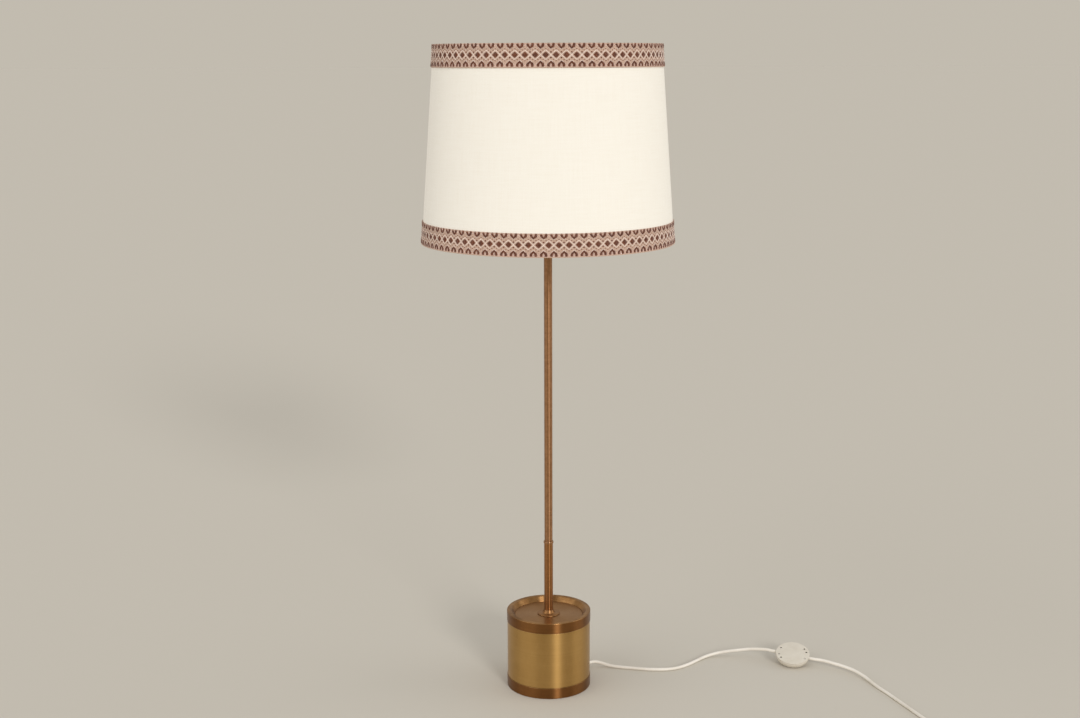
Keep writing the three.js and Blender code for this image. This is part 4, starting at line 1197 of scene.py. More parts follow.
@dataclass
class FootSwitch:
    """The round in-line switch, which lies upside down on the floor: base plate up, cord along its X.

    The bowl's shoulders are given by radius and height, and the button's dish by radius and height over
    its face.
    """

    centre: Triple = (477.0, 85.0, 22.3)
    tilt: float = 17.9
    roll: float = -2.2
    yaw: float = -21.0
    radius: float = 32.5
    plate: float = 1.5
    plate_edge: float = 0.35
    depth: float = 16.5
    wall: float = 2.1
    rim_height: float = 3.0
    foot_width: float = 6.5
    shoulder_outside: Profile = ((25.5, -15.0), (30.3, -11.0))
    shoulder_inside: Profile = ((28.2, -10.0), (24.2, -13.1))
    cord_depth: float = 4.8
    cord_notch: float = 3.5
    notch_room: float = 4.0
    block_bottom: float = 8.6
    hole_circle: float = 26.6
    hole_radius: float = 1.9
    hole_angles: tuple[float, ...] = (-20.0, 22.0, 44.0)
    button_radius: float = 12.5
    button_gap: float = 0.5
    button_flange: float = 14.5
    button_out: float = 3.0
    button_edge: float = 1.3
    button_dish: Profile = ((0.0, 0.9), (5.0, 0.8), (7.2, 0.5), (8.6, 0.4), (9.4, 0.0), (10.8, 0.0))

    @property
    def pose(self) -> Matrix:
        """Places the switch as it lies on the floor.

        Returns:
            From the switch's own frame to the lamp's.
        """
        return (
            Matrix.Translation(self.centre)
            @ Matrix.Rotation(math.radians(self.roll), 4, "Y")
            @ Matrix.Rotation(math.radians(self.tilt), 4, "X")
            @ Matrix.Rotation(math.radians(self.yaw), 4, "Z")
        )

    def cord_point(self, along: float) -> Vector:
        """A point on the cord's line through the switch."""
        return self.pose @ Vector((along, 0.0, -self.cord_depth))

    def _plate(self) -> Mesh:
        """Makes the flat base plate with its six holes.

        Returns:
            The mesh.
        """
        edge = self.plate_edge
        holes = [
            circle(self.hole_radius + edge, 28, ring_point(self.hole_circle, entry + angle, 0)[:2])
            for entry in (0, 180)
            for angle in self.hole_angles
        ]
        middle = self.pose @ Matrix.Translation((0, 0, -self.plate / 2))
        return cut_plate("switch_plate", [circle(self.radius - edge, 128), *holes], self.plate, edge, middle)

    def _cover(self) -> Mesh:
        """Makes the bowl with its mouth for the button and a notch for the cord at each side.

        Returns:
            The mesh.
        """
        top, bottom, floor = -self.plate - FIT, -self.depth, self.wall - self.depth
        rim, inner, mouth = self.radius, self.radius - self.wall, self.button_radius + self.button_gap
        below, foot = top - self.rim_height, mouth + self.foot_width
        outside = [(mouth, bottom), (foot, bottom), *self.shoulder_outside, (rim, below), (rim, top)]
        inside = [(inner, top), (inner, below), *self.shoulder_inside, (foot, floor), (mouth, floor)]
        bowl = turned("switch_cover", outside + inside, facets=96, ease=1.2, pose=self.pose)
        reach = self.radius + self.notch_room
        entry = self.pose @ Matrix.Translation((0, 0, -self.cord_depth)) @ ALONG_X
        return carved(bowl, drill("switch_notch", self.cord_notch, -reach, reach, entry))

    def _button(self) -> Mesh:
        """Makes the foot button, dished, with a raised ring.

        Returns:
            The mesh.
        """
        face, radius, wide = -self.depth - self.button_out, self.button_radius, self.button_flange
        flange, top = -self.depth + self.wall + FIT, -self.block_bottom - self.button_out - FIT
        profile = [(r, face + z) for r, z in self.button_dish]
        profile += [(radius, face + self.button_edge), (radius, flange), (wide, flange)]
        profile += [(wide, top), (0, top)]
        return turned("switch_button", profile, facets=64, ease=0.6, pose=self.pose)

    def build(self) -> list[Object]:
        """Builds the switch.

        Returns:
            The pieces that lie on the cord.
        """
        dress(PORCELAIN, "switch_block")
        return [
            add_piece("switch_plate_pressed", self._plate(), AGED_WHITE, Body.BASE, ["switch_plate"]),
            add_piece("switch_bowl_moulded", self._cover(), AGED_WHITE, Body.BASE, ["switch_cover"]),
            add_piece("switch_button_dished", self._button(), AGED_WHITE, Body.BUTTON, ["switch_button"]),
        ]


@dataclass(frozen=True)
class CordExit:
    """Where the cord leaves the drum: azimuth in degrees, and height."""

    azimuth: float = 40.0
    height: float = 11.5

    def pose(self) -> Matrix:
        """From a frame whose Z axis points out along the cord to the lamp's."""
        turn = Matrix.Rotation(math.radians(self.azimuth), 4, "Z")
        return Matrix.Translation((0, 0, self.height)) @ turn @ ALONG_X

    def point(self, reach: float) -> Triple:
        """A point on the cord's line at a distance from the lamp's axis."""
        return ring_point(reach, self.azimuth, self.height)


@dataclass(frozen=True)
class Ribs:
    """Ribs along a taper: one rib's corners, by depth and distance along, and how it repeats."""

    corners: Profile
    count: int
    pitch: float
    first: float

    def along(self, start: Pair, end: Pair) -> list[Pair]:
        """Lays the ribs on a straight taper.

        Args:
            start: the taper's radius and place at its start.
            end: the same at its end.

        Returns:
            Corners for the profile of a turned piece.
        """
        (wide, near), (thin, far) = start, end
        line = []
        for i in range(self.count):
            place = near + self.first + self.pitch * i
            radius = wide + (thin - wide) * (place - near) / (far - near)
            line += [(radius - depth, place + run) for depth, run in self.corners]
        return line


@dataclass
class MainsCord:
    """The cord from the base to the switch, on to a coil, and its plug."""

    switch: FootSwitch
    exit: CordExit = CordExit()
    radius: float = 3.0
    sides: int = 18
    step: float = 3.0
    exit_run: Pair = (-1.0, 2.3)
    before_switch: tuple[float, ...] = (-52.0, -42.0, -34.0)
    after_switch: tuple[float, ...] = (34.0, 42.0)
    switch_end: float = 28.3
    to_switch: tuple[Point, ...] = (
        (88.3, 72.2, 10.8), (97.1, 74.2, 9), (105.9, 73.3, 6.8), (118, 70, 4.1), (132, 66.2, 3.2),
        (165, 58.4, 3.1), (199, 52.2, 3.1), (233, 53, 3.1), (251, 60, 3.1), (270, 74, 3.1), (289, 93, 3.1),
        (309, 112, 4), (328, 120.5, 6.5), (350, 121.5, 10.5), (373, 117, 15.2), (399, 111.5, 19.8),
    )
    to_coil: tuple[Point, ...] = (
        (532, 68, 13.8), (551, 57, 12.4), (569.5, 45, 10.6), (587, 30, 8.4), (601.5, 7, 6), (611, -17, 4.2),
        (619.5, -39, 3.3), (630, -64, 3.1), (640, -91, 3.1), (650, -118, 3.1), (660, -145, 3.1),
        (669, -170, 3.2), (678, -195, 3.5),
    )
    grommet_inside: float = 70.3
    grommet_collar: float = 78.7
    grommet_tip: float = 103.0
    grommet_neck: float = 4.3
    grommet_flange: float = 5.2
    grommet_flanges: Pair = (2.0, 1.6)
    grommet_taper: float = 5.0
    grommet_wall: float = 0.6
    grommet_ribs: Ribs = Ribs(
        ((0.55, 0.0), (0.0, 0.4), (0.1, 2.4), (0.65, 2.8)), count=5, pitch=3.9, first=3.2
    )
    grommet_end: Profile = ((-0.1, -0.6), (-0.3, 0.0))
    coil_centre: Pair = (648.5, -251.0)
    coil_inner: float = 24.4
    coil_pitch: float = 6.7
    coil_low: float = 4.1
    coil_turns: float = 7 + 110 / 360
    coil_start: float = 20.0
    coil_ease: float = 0.1
    coil_climb: float = 0.5
    coil_steps: int = 72
    coil_run: float = 12.0
    tail: float = 42.0
    tail_level: float = 10.0
    strap_azimuth: float = 150.0
    strap_width: float = 6.0
    strap_thick: float = 0.8
    strap_slack: float = 0.5
    strap_round: float = 2.2
    plug_axis: float = 7.2
    plug_relief: float = 24.0
    relief_wall: float = 0.8
    relief_inset: float = 1.0
    relief_collar: float = 1.6
    relief_ribs: Ribs = Ribs(
        ((0.0, 0.0), (0.0, 1.7), (0.7, 2.0), (0.7, 3.0)), count=6, pitch=3.3, first=2.0
    )
    plug_length: float = 36.0
    plug_width: float = 35.0
    plug_neck: float = 15.0
    plug_thick: float = 13.6
    plug_edge: float = 2.2
    plug_nose: float = 3.0
    plug_shoulder: Profile = ((6.0, 0.4), (11.5, 3.4))
    plug_cheek: Profile = ((17.0, 0.6), (22.0, 0.0))
    pin_radius: float = 2.0
    pin_length: float = 19.0
    pin_spacing: float = 18.6
    pin_sleeve: float = 10.0
    pin_root: float = 1.0
    pin_step: Pair = (0.15, 0.1)
    pin_tip: Pair = (0.9, 1.2)

    def _coil_point(self, turn: float) -> np.ndarray:
        """Finds a point of the coil, in along the lower layer and out along the upper one.

        Args:
            turn: how many turns it is from the start.

        Returns:
            The point.
        """
        across = turn - self.coil_turns / 2
        radius = self.coil_inner + self.coil_pitch * (math.hypot(across, self.coil_ease) - self.coil_ease)
        height = self.coil_low + self.coil_pitch * gentle(across / self.coil_climb + 0.5)
        return np.array(ring_point(radius, self.coil_start - 360 * turn, height)) + (*self.coil_centre, 0.0)

    def _coil(self) -> np.ndarray:
        """Draws the coil with its straight start and the tail that comes down to the plug.

        Returns:
            The points of its line.
        """
        steps = round(self.coil_turns * self.coil_steps)
        turns = [self._coil_point(i * self.coil_turns / steps) for i in range(steps + 1)]
        start = turns[0] - unit(turns[1] - turns[0]) * 2 * self.radius
        drop, slope = self.plug_axis - turns[-1][2], self.tail - 2 * self.radius - self.tail_level
        tail = [
            turns[-1] + (-along, 0.0, drop * gentle((along - self.tail_level) / slope))
            for along in np.arange(self.step, self.tail + 0.1, self.step)
        ]
        return np.vstack([start, turns, tail])

    def _cord(self, name: str, path: np.ndarray, *nodes: str) -> Object:
        """Makes one stretch of cord as a round tube.

        Args:
            name: the piece's name.
            path: its centreline.
            nodes: the solids that it stands for.

        Returns:
            The piece.
        """
        section = circle(self.radius, self.sides)
        return add_piece(name, swept(name, path, section), CORD_VINYL, Body.BASE, nodes)

    def _strap(self) -> Mesh:
        """Makes the woven strap round the bundle of turns.

        Returns:
            The mesh.
        """
        slack, half, wide = self.strap_slack, self.strap_thick / 2, self.strap_width / 2
        outer = float(np.linalg.norm(self._coil_point(0)[:2] - self.coil_centre))
        left, right = self.coil_inner - self.radius - slack - half, outer + self.radius + slack + half
        top = self.coil_low + self.coil_pitch + self.radius + FIT + half
        corners = [(left, half), (right, half), (right, top), (left, top)]
        loop = eased(corners, self.strap_round, closed=True, steps=6)
        path = [np.array(ring_point(r, self.strap_azimuth, z)) + (*self.coil_centre, 0.0) for r, z in loop]
        edges = [(-wide, -half), (wide, -half), (wide, half), (-wide, half)]
        return swept("strap", np.array(path), eased(edges, 0.3, closed=True, steps=2), closed=True)

    def _relief(self, pose: Matrix) -> Mesh:
        """Makes the plug's ribbed strain relief.

        Args:
            pose: from the plug's own frame to the lamp's.

        Returns:
            The mesh.
        """
        thin, thick = self.radius + self.relief_wall, self.plug_thick / 2 - self.relief_inset
        reach = self.plug_relief
        ribs = self.relief_ribs.along((thin, 0.0), (thick, reach))
        collar = [(thick, reach - self.relief_collar), (thick, reach), (0.0, reach)]
        profile = [(0.0, 0.0), (thin, 0.0), *ribs, *collar]
        return turned("plug_relief", profile, facets=32, ease=0.25, pose=pose @ ALONG_X)

    def _plug(self, end: np.ndarray) -> list[Object]:
        """Builds the flat two-pin plug with its strain relief.

        Args:
            end: where the cord ends.

        Returns:
            The plug's pieces.
        """
        pose = Matrix.Translation((end[0] - FIT, end[1], end[2])) @ Matrix.Rotation(math.pi, 4, "Z")
        edge, nose, front = self.plug_edge, self.plug_nose, self.plug_length - self.plug_edge
        neck, wide = self.plug_neck / 2 - edge, self.plug_width / 2 - edge
        side = [(edge, -neck), *((x, -neck - out) for x, out in self.plug_shoulder)]
        side += [(x, inset - wide) for x, inset in self.plug_cheek]
        half = [*map(tuple, smooth_line(side, 1.0)), (front - nose, -wide), (front, -wide + nose)]
        outline = half + [(x, -y) for x, y in reversed(half)]
        place = pose @ Matrix.Translation((self.plug_relief + FIT, 0, 0))
        body = cut_plate("plug_body", [outline], self.plug_thick, edge, place)
        pieces = [
            add_piece("plug_relief_ribbed", self._relief(pose), AGED_WHITE, Body.BASE, ["plug_relief"]),
            add_piece("plug_body_moulded", body, AGED_WHITE, Body.BASE, ["plug_body"]),
        ]
        root = self.plug_relief + self.plug_length + 2 * FIT
        for i, across in enumerate((-self.pin_spacing / 2, self.pin_spacing / 2)):
            pieces.append(self._pin(i + 1, pose @ Matrix.Translation((root, across, 0)) @ ALONG_X))
        return pieces

    def _pin(self, number: int, pose: Matrix) -> Object:
        """Builds one pin: an insulated root and a bare, rounded tip.

        Args:
            number: which pin it is.
            pose: where it stands.

        Returns:
            The piece.
        """
        radius, length, sleeve = self.pin_radius, self.pin_length, self.pin_sleeve
        (step, slope), (point, taper) = self.pin_step, self.pin_tip
        profile = [
            (0, -self.pin_root), (radius, -self.pin_root), (radius, sleeve), (radius - step, sleeve + slope),
            (radius - step, length - taper), (radius - point, length), (0, length),
        ]
        mesh = turned(f"plug_pin_{number}", profile, facets=32, ease=0.5, pose=pose)
        mesh.materials.append(NICKEL.material())
        mesh.materials.append(AGED_WHITE.material())
        back = pose.inverted()
        for face in mesh.polygons:
            face.material_index = 1 if (back @ (face.center / MM)).z < sleeve else 0
        return add_piece(f"plug_pin_{number}_sleeved", mesh, NICKEL, Body.BASE, [f"plug_pin_{number}"])

    def _grommet(self) -> Mesh:
        """Makes the tapered, ribbed strain relief in the bottom ring.

        Returns:
            The mesh.
        """
        inside, collar, tip = self.grommet_inside, self.grommet_collar, self.grommet_tip
        flange, neck, thin = self.grommet_flange, self.grommet_neck, self.radius + self.grommet_wall
        back, front = inside + self.grommet_flanges[0], collar + self.grommet_flanges[1]
        profile = [(0, inside), (flange, inside), (flange, back), (neck, back), (neck, collar)]
        profile += [(flange, collar), (flange, front)]
        profile += self.grommet_ribs.along((self.grommet_taper, collar), (thin, tip))
        profile += [*((thin + r, tip + along) for r, along in self.grommet_end), (0, tip)]
        return turned("cord_grommet", profile, facets=40, ease=0.25, pose=self.exit.pose())

    def build(self) -> None:
        """Builds the cord with all that is on it."""
        add_piece("cord_grommet_ribbed", self._grommet(), AGED_WHITE, Body.BASE, ["cord_grommet"])
        leave = [self.exit.point(self.grommet_tip + run) for run in self.exit_run]
        arrive = [self.switch.cord_point(a) for a in (*self.before_switch, -self.switch_end)]
        first = smooth_line([*leave, *self.to_switch, *arrive], self.step)
        cord = self._cord("cord_to_switch", first, "cord_base_to_switch")
        self._declare(cord, first, CordEnd.FITTING, CordLay.LOOSE, [*self.switch.build(), "switch_block"])
        coil = self._coil()
        heading = unit(coil[1] - coil[0])
        leave = [self.switch.cord_point(a) for a in (self.switch_end, *self.after_switch)]
        arrive = [coil[0] - self.coil_run * heading, coil[0] - FIT * heading]
        second = np.vstack([smooth_line([*leave, *self.to_coil, *arrive], self.step), coil])
        cord = self._cord("cord_to_plug", second, "cord_switch_to_coil", "cord_coil")
        strap = add_piece("coil_strap_woven", self._strap(), STRAP_NYLON, Body.BASE, ["coil_strap"])
        self._declare(cord, second, CordEnd.PLUG, CordLay.COILED, [*self._plug(coil[-1]), strap])
        dress(CORD_VINYL, "base_flex", "stem_flex")

    def _declare(
        self, cord: Object, path: np.ndarray, end: CordEnd, lay: CordLay, pieces: list[Object | str]
    ) -> None:
        """Takes a cord, its centreline, its end, its lay and what is on it, and does nothing with them.

        Args:
            cord: the piece; not used.
            path: its centreline; not used.
            end: what it ends in; not used.
            lay: how it lies; not used.
            pieces: the pieces and dressed solids on it; not used.
        """


@dataclass
class BaseDrum:
    """The drum: two turned rings, a rolled shell between them, and the lid with its rosette."""

    radius: float = 78.4
    foot: float = 0.5
    seat_radius: float = 75.8
    seat_top: float = 5.9
    top: float = 146.6
    bottom_ring_top: float = 20.6
    shell_top: float = 127.2
    shell_radius: float = 77.6
    shell_wall: float = 1.2
    bore: float = 73.0
    spigot: float = 5.4
    rim_inner: float = 70.0
    # The rim and its sloping wall are painted this far towards the bare tone as a painted highlight, starting
    # this far inside the outer edge.
    rim_painted_sheen: float = 0.75
    sheen_inset: float = 1.0
    dish_radius: float = 63.0
    dish_floor: float = 138.5
    ledge_radius: float = 58.5
    ledge_thick: float = 2.0
    plate_thick: float = 2.2
    stem_radius: float = 8.2
    rosette_radius: float = 20.7
    rosette_rim: float = 2.0
    rosette_edge: Profile = ((0.0, -0.9), (-1.2, -0.1), (-2.4, 0.0))
    rosette_hub: float = 12.6
    rosette_height: float = 8.0
    rosette_lip: float = 0.7
    exit: CordExit = CordExit()
    exit_radius: float = 4.6
    exit_room: float = 3.0
    facets: int = 256

    @property
    def _spigot_radius(self) -> float:
        """The radius of the rings' spigots, which fit in the shell."""
        return self.shell_radius - self.shell_wall - FIT

    def _bottom_ring(self) -> Mesh:
        """Makes the lower ring, with the hole for the cord.

        Returns:
            The mesh.
        """
        radius, bore, seat, spigot = self.radius, self.bore, self.seat_radius, self._spigot_radius
        top, inside = self.bottom_ring_top, self.bottom_ring_top + self.spigot
        profile = [
            (seat, self.foot), (radius, self.foot), (radius, top), (spigot, top), (spigot, inside),
            (bore, inside), (bore, self.seat_top), (seat, self.seat_top),
        ]
        ring = turned("bottom_ring", profile, self.facets, ease=0.6)
        near, far = bore - self.exit_room, radius + self.exit_room
        return carved(ring, drill("exit_hole", self.exit_radius, near, far, self.exit.pose()))

    def _top_ring(self) -> Mesh:
        """Makes the upper ring: a flat rim and a wall that slopes to the lid, both painted towards the bare
        tone as a painted highlight.

        Returns:
            The mesh.
        """
        foot, spigot, floor = self.dish_radius + FIT, self._spigot_radius, self.dish_floor
        ledge, low, edge = floor - self.plate_thick - FIT, self.shell_top - self.spigot, self.ledge_radius
        under = ledge - self.ledge_thick
        profile = [
            (edge, under), (self.bore, under), (self.bore, low), (spigot, low), (spigot, self.shell_top),
            (self.radius, self.shell_top), (self.radius, self.top), (self.rim_inner, self.top),
            (foot, floor), (foot, ledge), (edge, ledge),
        ]
        ring = turned("top_ring", profile, self.facets, ease=0.7)
        # Painted highlight: the rim and its sloping wall get the bare tone for the reflection the flat rim
        # shows. The outer edges keep their real wear.
        for point, worn in zip(ring.vertices, ring.attributes[WEAR_AND_SHEEN].data):
            inside = math.hypot(point.co.x, point.co.y) < (self.radius - self.sheen_inset) * MM
            if inside and point.co.z > floor * MM:
                worn.value = max(worn.value, self.rim_painted_sheen)
        return ring

    def _rosette(self) -> Mesh:
        """Makes a low disc with a hub that flares out from the sleeve.

        Returns:
            The mesh.
        """
        bore, low, radius = self.stem_radius + FIT, self.dish_floor + FIT, self.rosette_radius
        rim, high, lip = low + self.rosette_rim, low + self.rosette_height, bore + self.rosette_lip
        hub = self.rosette_hub
        edge = [(bore, low), (radius, low), *((radius + r, rim + z) for r, z in self.rosette_edge)]
        flare = [(hub + (lip - hub) * t, rim + (high - rim) * t * t) for t in np.linspace(0, 1, 9)]
        return turned("stem_rosette", [*edge, *flare, (bore, high)], facets=160, ease=0.5)

    def build(self) -> None:
        """Builds what shows of the drum and dresses what is inside."""
        wall = self.shell_radius - self.shell_wall
        low, high = self.bottom_ring_top + FIT, self.shell_top - FIT
        shell = pipe("base_shell", wall, self.shell_radius, low, high, self.facets)
        bore, under = self.stem_radius + FIT, self.dish_floor - self.plate_thick
        plate = pipe("top_plate", bore, self.dish_radius, under, self.dish_floor, facets=192)
        add_piece("bottom_ring_turned", self._bottom_ring(), BRONZED_BRASS, Body.BASE, ["bottom_ring"])
        add_piece("base_shell_rolled", shell, LACQUERED_BRASS, Body.BASE, ["base_shell"])
        add_piece("top_ring_turned", self._top_ring(), BRONZED_BRASS, Body.BASE, ["top_ring"])
        add_piece("top_plate_satin", plate, SATIN_BRONZE, Body.BASE, ["top_plate"])
        add_piece("stem_rosette_turned", self._rosette(), ROSETTE_BRONZE, Body.BASE, ["stem_rosette"])
        dress(FELT, "floor_felt")
        dress(CAST_IRON, "ballast_weight")
        dress(ZINC_STEEL, "bottom_plate", "clamp_washer", "clamp_nut", "spacer_tube")
        dress(ZINC_STEEL, "plate_screw_1", "plate_screw_2", "plate_screw_3")


@dataclass
class TelescopicStem:
    """The sleeve that stands in the base and the tube that slides in it."""

    sleeve_radius: float = 8.2
    sleeve_bore: float = 7.65
    sleeve_bottom: float = 46.3
    sleeve_top: float = 279.2
    collar_radius: float = 9.2
    collar_bottom: float = 276.9
    collar_top: float = 280.8
    collar_lip: float = 1.3
    collar_gap: float = 0.2
    tube_radius: float = 7.5
    tube_bore: float = 6.8
    tube_bottom: float = 67.8
    tube_top: float = 905.0
    facets: int = 72

    def _collar(self) -> Mesh:
        """Makes the ring that caps the sleeve.

        Returns:
            The mesh.
        """
        low, high, lip = self.collar_bottom, self.collar_top, self.collar_top - self.collar_lip
        outside, radius = self.sleeve_radius + FIT, self.collar_radius
        bore = self.tube_radius + self.collar_gap
        profile = [(outside, low), (radius, low), (radius, high), (bore, high), (bore, lip), (outside, lip)]
        return turned("sleeve_collar", profile, self.facets, ease=0.6)

    def build(self) -> None:
        """Builds the stem and dresses its inner fittings."""
        low, high = self.sleeve_bottom, self.sleeve_top
        sleeve = pipe("stem_sleeve", self.sleeve_bore, self.sleeve_radius, low, high, self.facets)
        low, high = self.tube_bottom, self.tube_top
        tube = pipe("stem_tube", self.tube_bore, self.tube_radius, low, high, self.facets)
        add_piece("stem_sleeve_drawn", sleeve, SLEEVE_BRASS, Body.BASE, ["stem_sleeve"])
        add_piece("sleeve_collar_turned", self._collar(), STEM_BRASS, Body.BASE, ["sleeve_collar"])
        add_piece("stem_tube_drawn", tube, STEM_BRASS, Body.STEM, ["stem_tube"])
        dress(STEM_BRASS, "sleeve_plug", "tube_foot")
        dress(NYLON, "friction_ring")
        dress(ZINC_STEEL, "holder_nipple")


@dataclass
class LampHolder:
    """The lamp holder under the shade, its two ring nuts, and the bulb.

    The bulb's cap is given by radius and height over its foot, and its glass by radius and height over
    the middle of its globe.
    """

    repeater: RoundRepeater
    neck: float = 9.0
    radius: float = 19.6
    wall: float = 2.0
    bottom: float = 907.6
    straight: float = 5.0
    seam: float = 925.0
    top: float = 963.0
    shank: float = 5.3
    thread_pitch: float = 2.6
    thread_depth: float = 0.45
    thread_end: float = 1.5
    thread_step: float = 0.35
    nut_root: float = 25.8
    nut_radius: float = 27.2
    nut_thick: float = 4.8
    nut_bottoms: Pair = (929.9, 938.3)
    nut_grips: int = 20
    grip_width: float = 4.6
    grip_sink: float = 0.3
    grip_end: float = 0.5
    grip_slim: float = 0.8
    cap_radius: float = 12.9
    cap_bottom: float = 939.6
    cap_top: float = 962.3
    cap_foot: Profile = ((5.5, 0.0), (8.5, 2.4), (11.9, 3.0))
    cap_wall: float = 4.5
    cap_pitch: float = 3.6
    cap_depth: float = 1.0
    cap_plain: Pair = (3.2, 2.5)
    cap_fade: float = 2.0
    bulb_radius: float = 30.0
    bulb_centre: float = 1017.0
    glass: float = 1.0
    glass_neck: float = 13.2
    glass_line: Profile = (
        (14.6, -44.0), (20.5, -30.0), (27.8, -14.0), (30.0, 0.0), (25.6, 16.0), (14.4, 27.0), (0.0, 30.0),
    )
    facets: int = 72

    def _cap(self) -> Mesh:
        """Makes the domed cap, a quarter of an ellipse with its wall.

        Returns:
            The mesh.
        """
        rise, bulge = self.seam - self.bottom - self.straight, self.radius - self.neck
        steps = 12
        quarter = [i * math.pi / 2 / steps for i in range(steps + 1)]

        def dome(inset: float) -> list[Pair]:
            """One face of the dome, this far in from the outside."""
            low, neck = self.bottom + inset, self.neck - inset
            return [(neck + bulge * math.sin(a), low + rise * (1 - math.cos(a))) for a in quarter]

        profile = [(self.shank, self.bottom), *dome(0), (self.radius, self.seam)]
        profile += [(self.radius - self.wall, self.seam), *reversed(dome(self.wall))]
        profile += [(self.shank, self.bottom + self.wall)]
        return turned("holder_cap", profile, self.facets, ease=0.5)

    def _skirt(self) -> Mesh:
        """Makes the threaded skirt that the ring nuts run on.

        Returns:
            The mesh.
        """
        low, high, bore = self.seam + FIT, self.top, self.radius - self.wall
        outside = [(self.radius, z) for z in np.arange(low, high + 0.01, self.thread_step)]

        def thread(turn: np.ndarray, height: np.ndarray) -> np.ndarray:
            """Depth of the thread, which leaves both ends plain."""
            cut = (height > low + self.thread_end) & (height < high - self.thread_end)
            return np.where(cut, -self.thread_depth * thread_wave(turn, height, self.thread_pitch), 0.0)

        return turned("holder_skirt", [(bore, low), *outside, (bore, high)], self.facets, 0.3, ripple=thread)

    def _rib(self) -> Mesh:
        """Makes one half-round grip of a ring nut, a little slimmer at its ends.

        Returns:
            The mesh.
        """
        wide, tall = self.grip_width / 2, self.nut_thick / 2
        rise, end = self.nut_radius - self.nut_root + self.grip_sink, tall - self.grip_end
        arc = [(wide * math.cos(a), rise * math.sin(a)) for a in np.linspace(0, math.pi, 8)]
        rows = [(-tall, self.grip_slim), (-end, 1.0), (end, 1.0), (tall, self.grip_slim)]
        vertices = [(x * grow, y, z * grow) for y, grow in rows for x, z in arc]
        count, last = len(arc), len(rows) - 1
        faces = [tuple(range(count)), tuple(range(last * count, (last + 1) * count))]
        for here in range(0, last * count, count):
            for j in range(count):
                k = (j + 1) % count
                faces.append((here + j, here + k, here + count + k, here + count + j))
        return solid("nut_grip", np.array(vertices), faces)

    def _nut(self, name: str, node: str, bottom: float) -> None:
        """Builds a ring nut with its grips.

        Args:
            name: the piece's name.
            node: the solid that it stands for.
            bottom: height of its underside.
        """
        bore, root, top = self.radius + FIT, self.nut_root, bottom + self.nut_thick
        ring = pipe(name, bore, root, bottom, top, facets=96, ease=0.6)
        add_piece(name, ring, AGED_WHITE, Body.STEM, [node])
        place = root - self.grip_sink, bottom + self.nut_thick / 2
        grips = self.repeater.run(name + "_grips", self._rib(), self.nut_grips, *place, 0.0, AGED_WHITE)
        add_piece(name + "_grips", grips, AGED_WHITE, Body.STEM)

    def _glass(self) -> Mesh:
        """Makes the bulb's glass with its wall.

        Returns:
            The mesh.
        """
        middle = self.bulb_centre
        neck = (self.glass_neck, self.cap_top + FIT)
        outline = smooth_line([neck, *((r, middle + z) for r, z in self.glass_line)], 2.0)
        outline[:, 0] = np.clip(outline[:, 0], 0, self.bulb_radius)
        shrink = 1 - self.glass / self.bulb_radius
        inside = np.stack([outline[:, 0] * shrink, middle + (outline[:, 1] - middle) * shrink], 1)
        return turned("bulb_glass", [*map(tuple, inside[::-1]), *map(tuple, outline)], self.facets, ease=0.2)

    def _bulb_cap(self) -> Mesh:
        """Makes the bulb's screw cap with its rolled thread.

        Returns:
            The mesh.
        """
        low, high, radius = self.cap_bottom, self.cap_top, self.cap_radius
        start, end = low + self.cap_plain[0], high - self.cap_plain[1]
        foot = [(0, low), *((r, low + z) for r, z in self.cap_foot)]
        wall = [(radius, z) for z in np.arange(low + self.cap_wall, high, self.thread_step)]

        def thread(turn: np.ndarray, height: np.ndarray) -> np.ndarray:
            """Depth of the rolled thread, which fades out at both ends."""
            fade = [np.clip(run / self.cap_fade, 0, 1) for run in (height - start, end - height)]
            return -self.cap_depth * thread_wave(turn, height, self.cap_pitch) * fade[0] * fade[1]

        return turned("bulb_cap", [*foot, *wall, (radius, high), (0, high)], self.facets, 0.3, ripple=thread)

    def build(self) -> None:
        """Builds the holder and the bulb."""
        add_piece("holder_cap_moulded", self._cap(), AGED_WHITE, Body.STEM, ["holder_cap"])
        add_piece("holder_skirt_threaded", self._skirt(), AGED_WHITE, Body.STEM, ["holder_skirt"])
        self._nut("shade_nut_low", "shade_nut_lower", self.nut_bottoms[0])
        self._nut("shade_nut_high", "shade_nut_upper", self.nut_bottoms[1])
        add_piece("bulb_cap_threaded", self._bulb_cap(), NICKEL, Body.BULB, ["bulb_cap"])
        add_piece("bulb_glass_blown", self._glass(), OPAL_GLASS, Body.BULB, ["bulb_glass"])
        dress(PORCELAIN, "holder_insert")
        dress(LACQUERED_BRASS, "screw_shell", "centre_contact")
        dress(NICKEL, "bulb_contact")


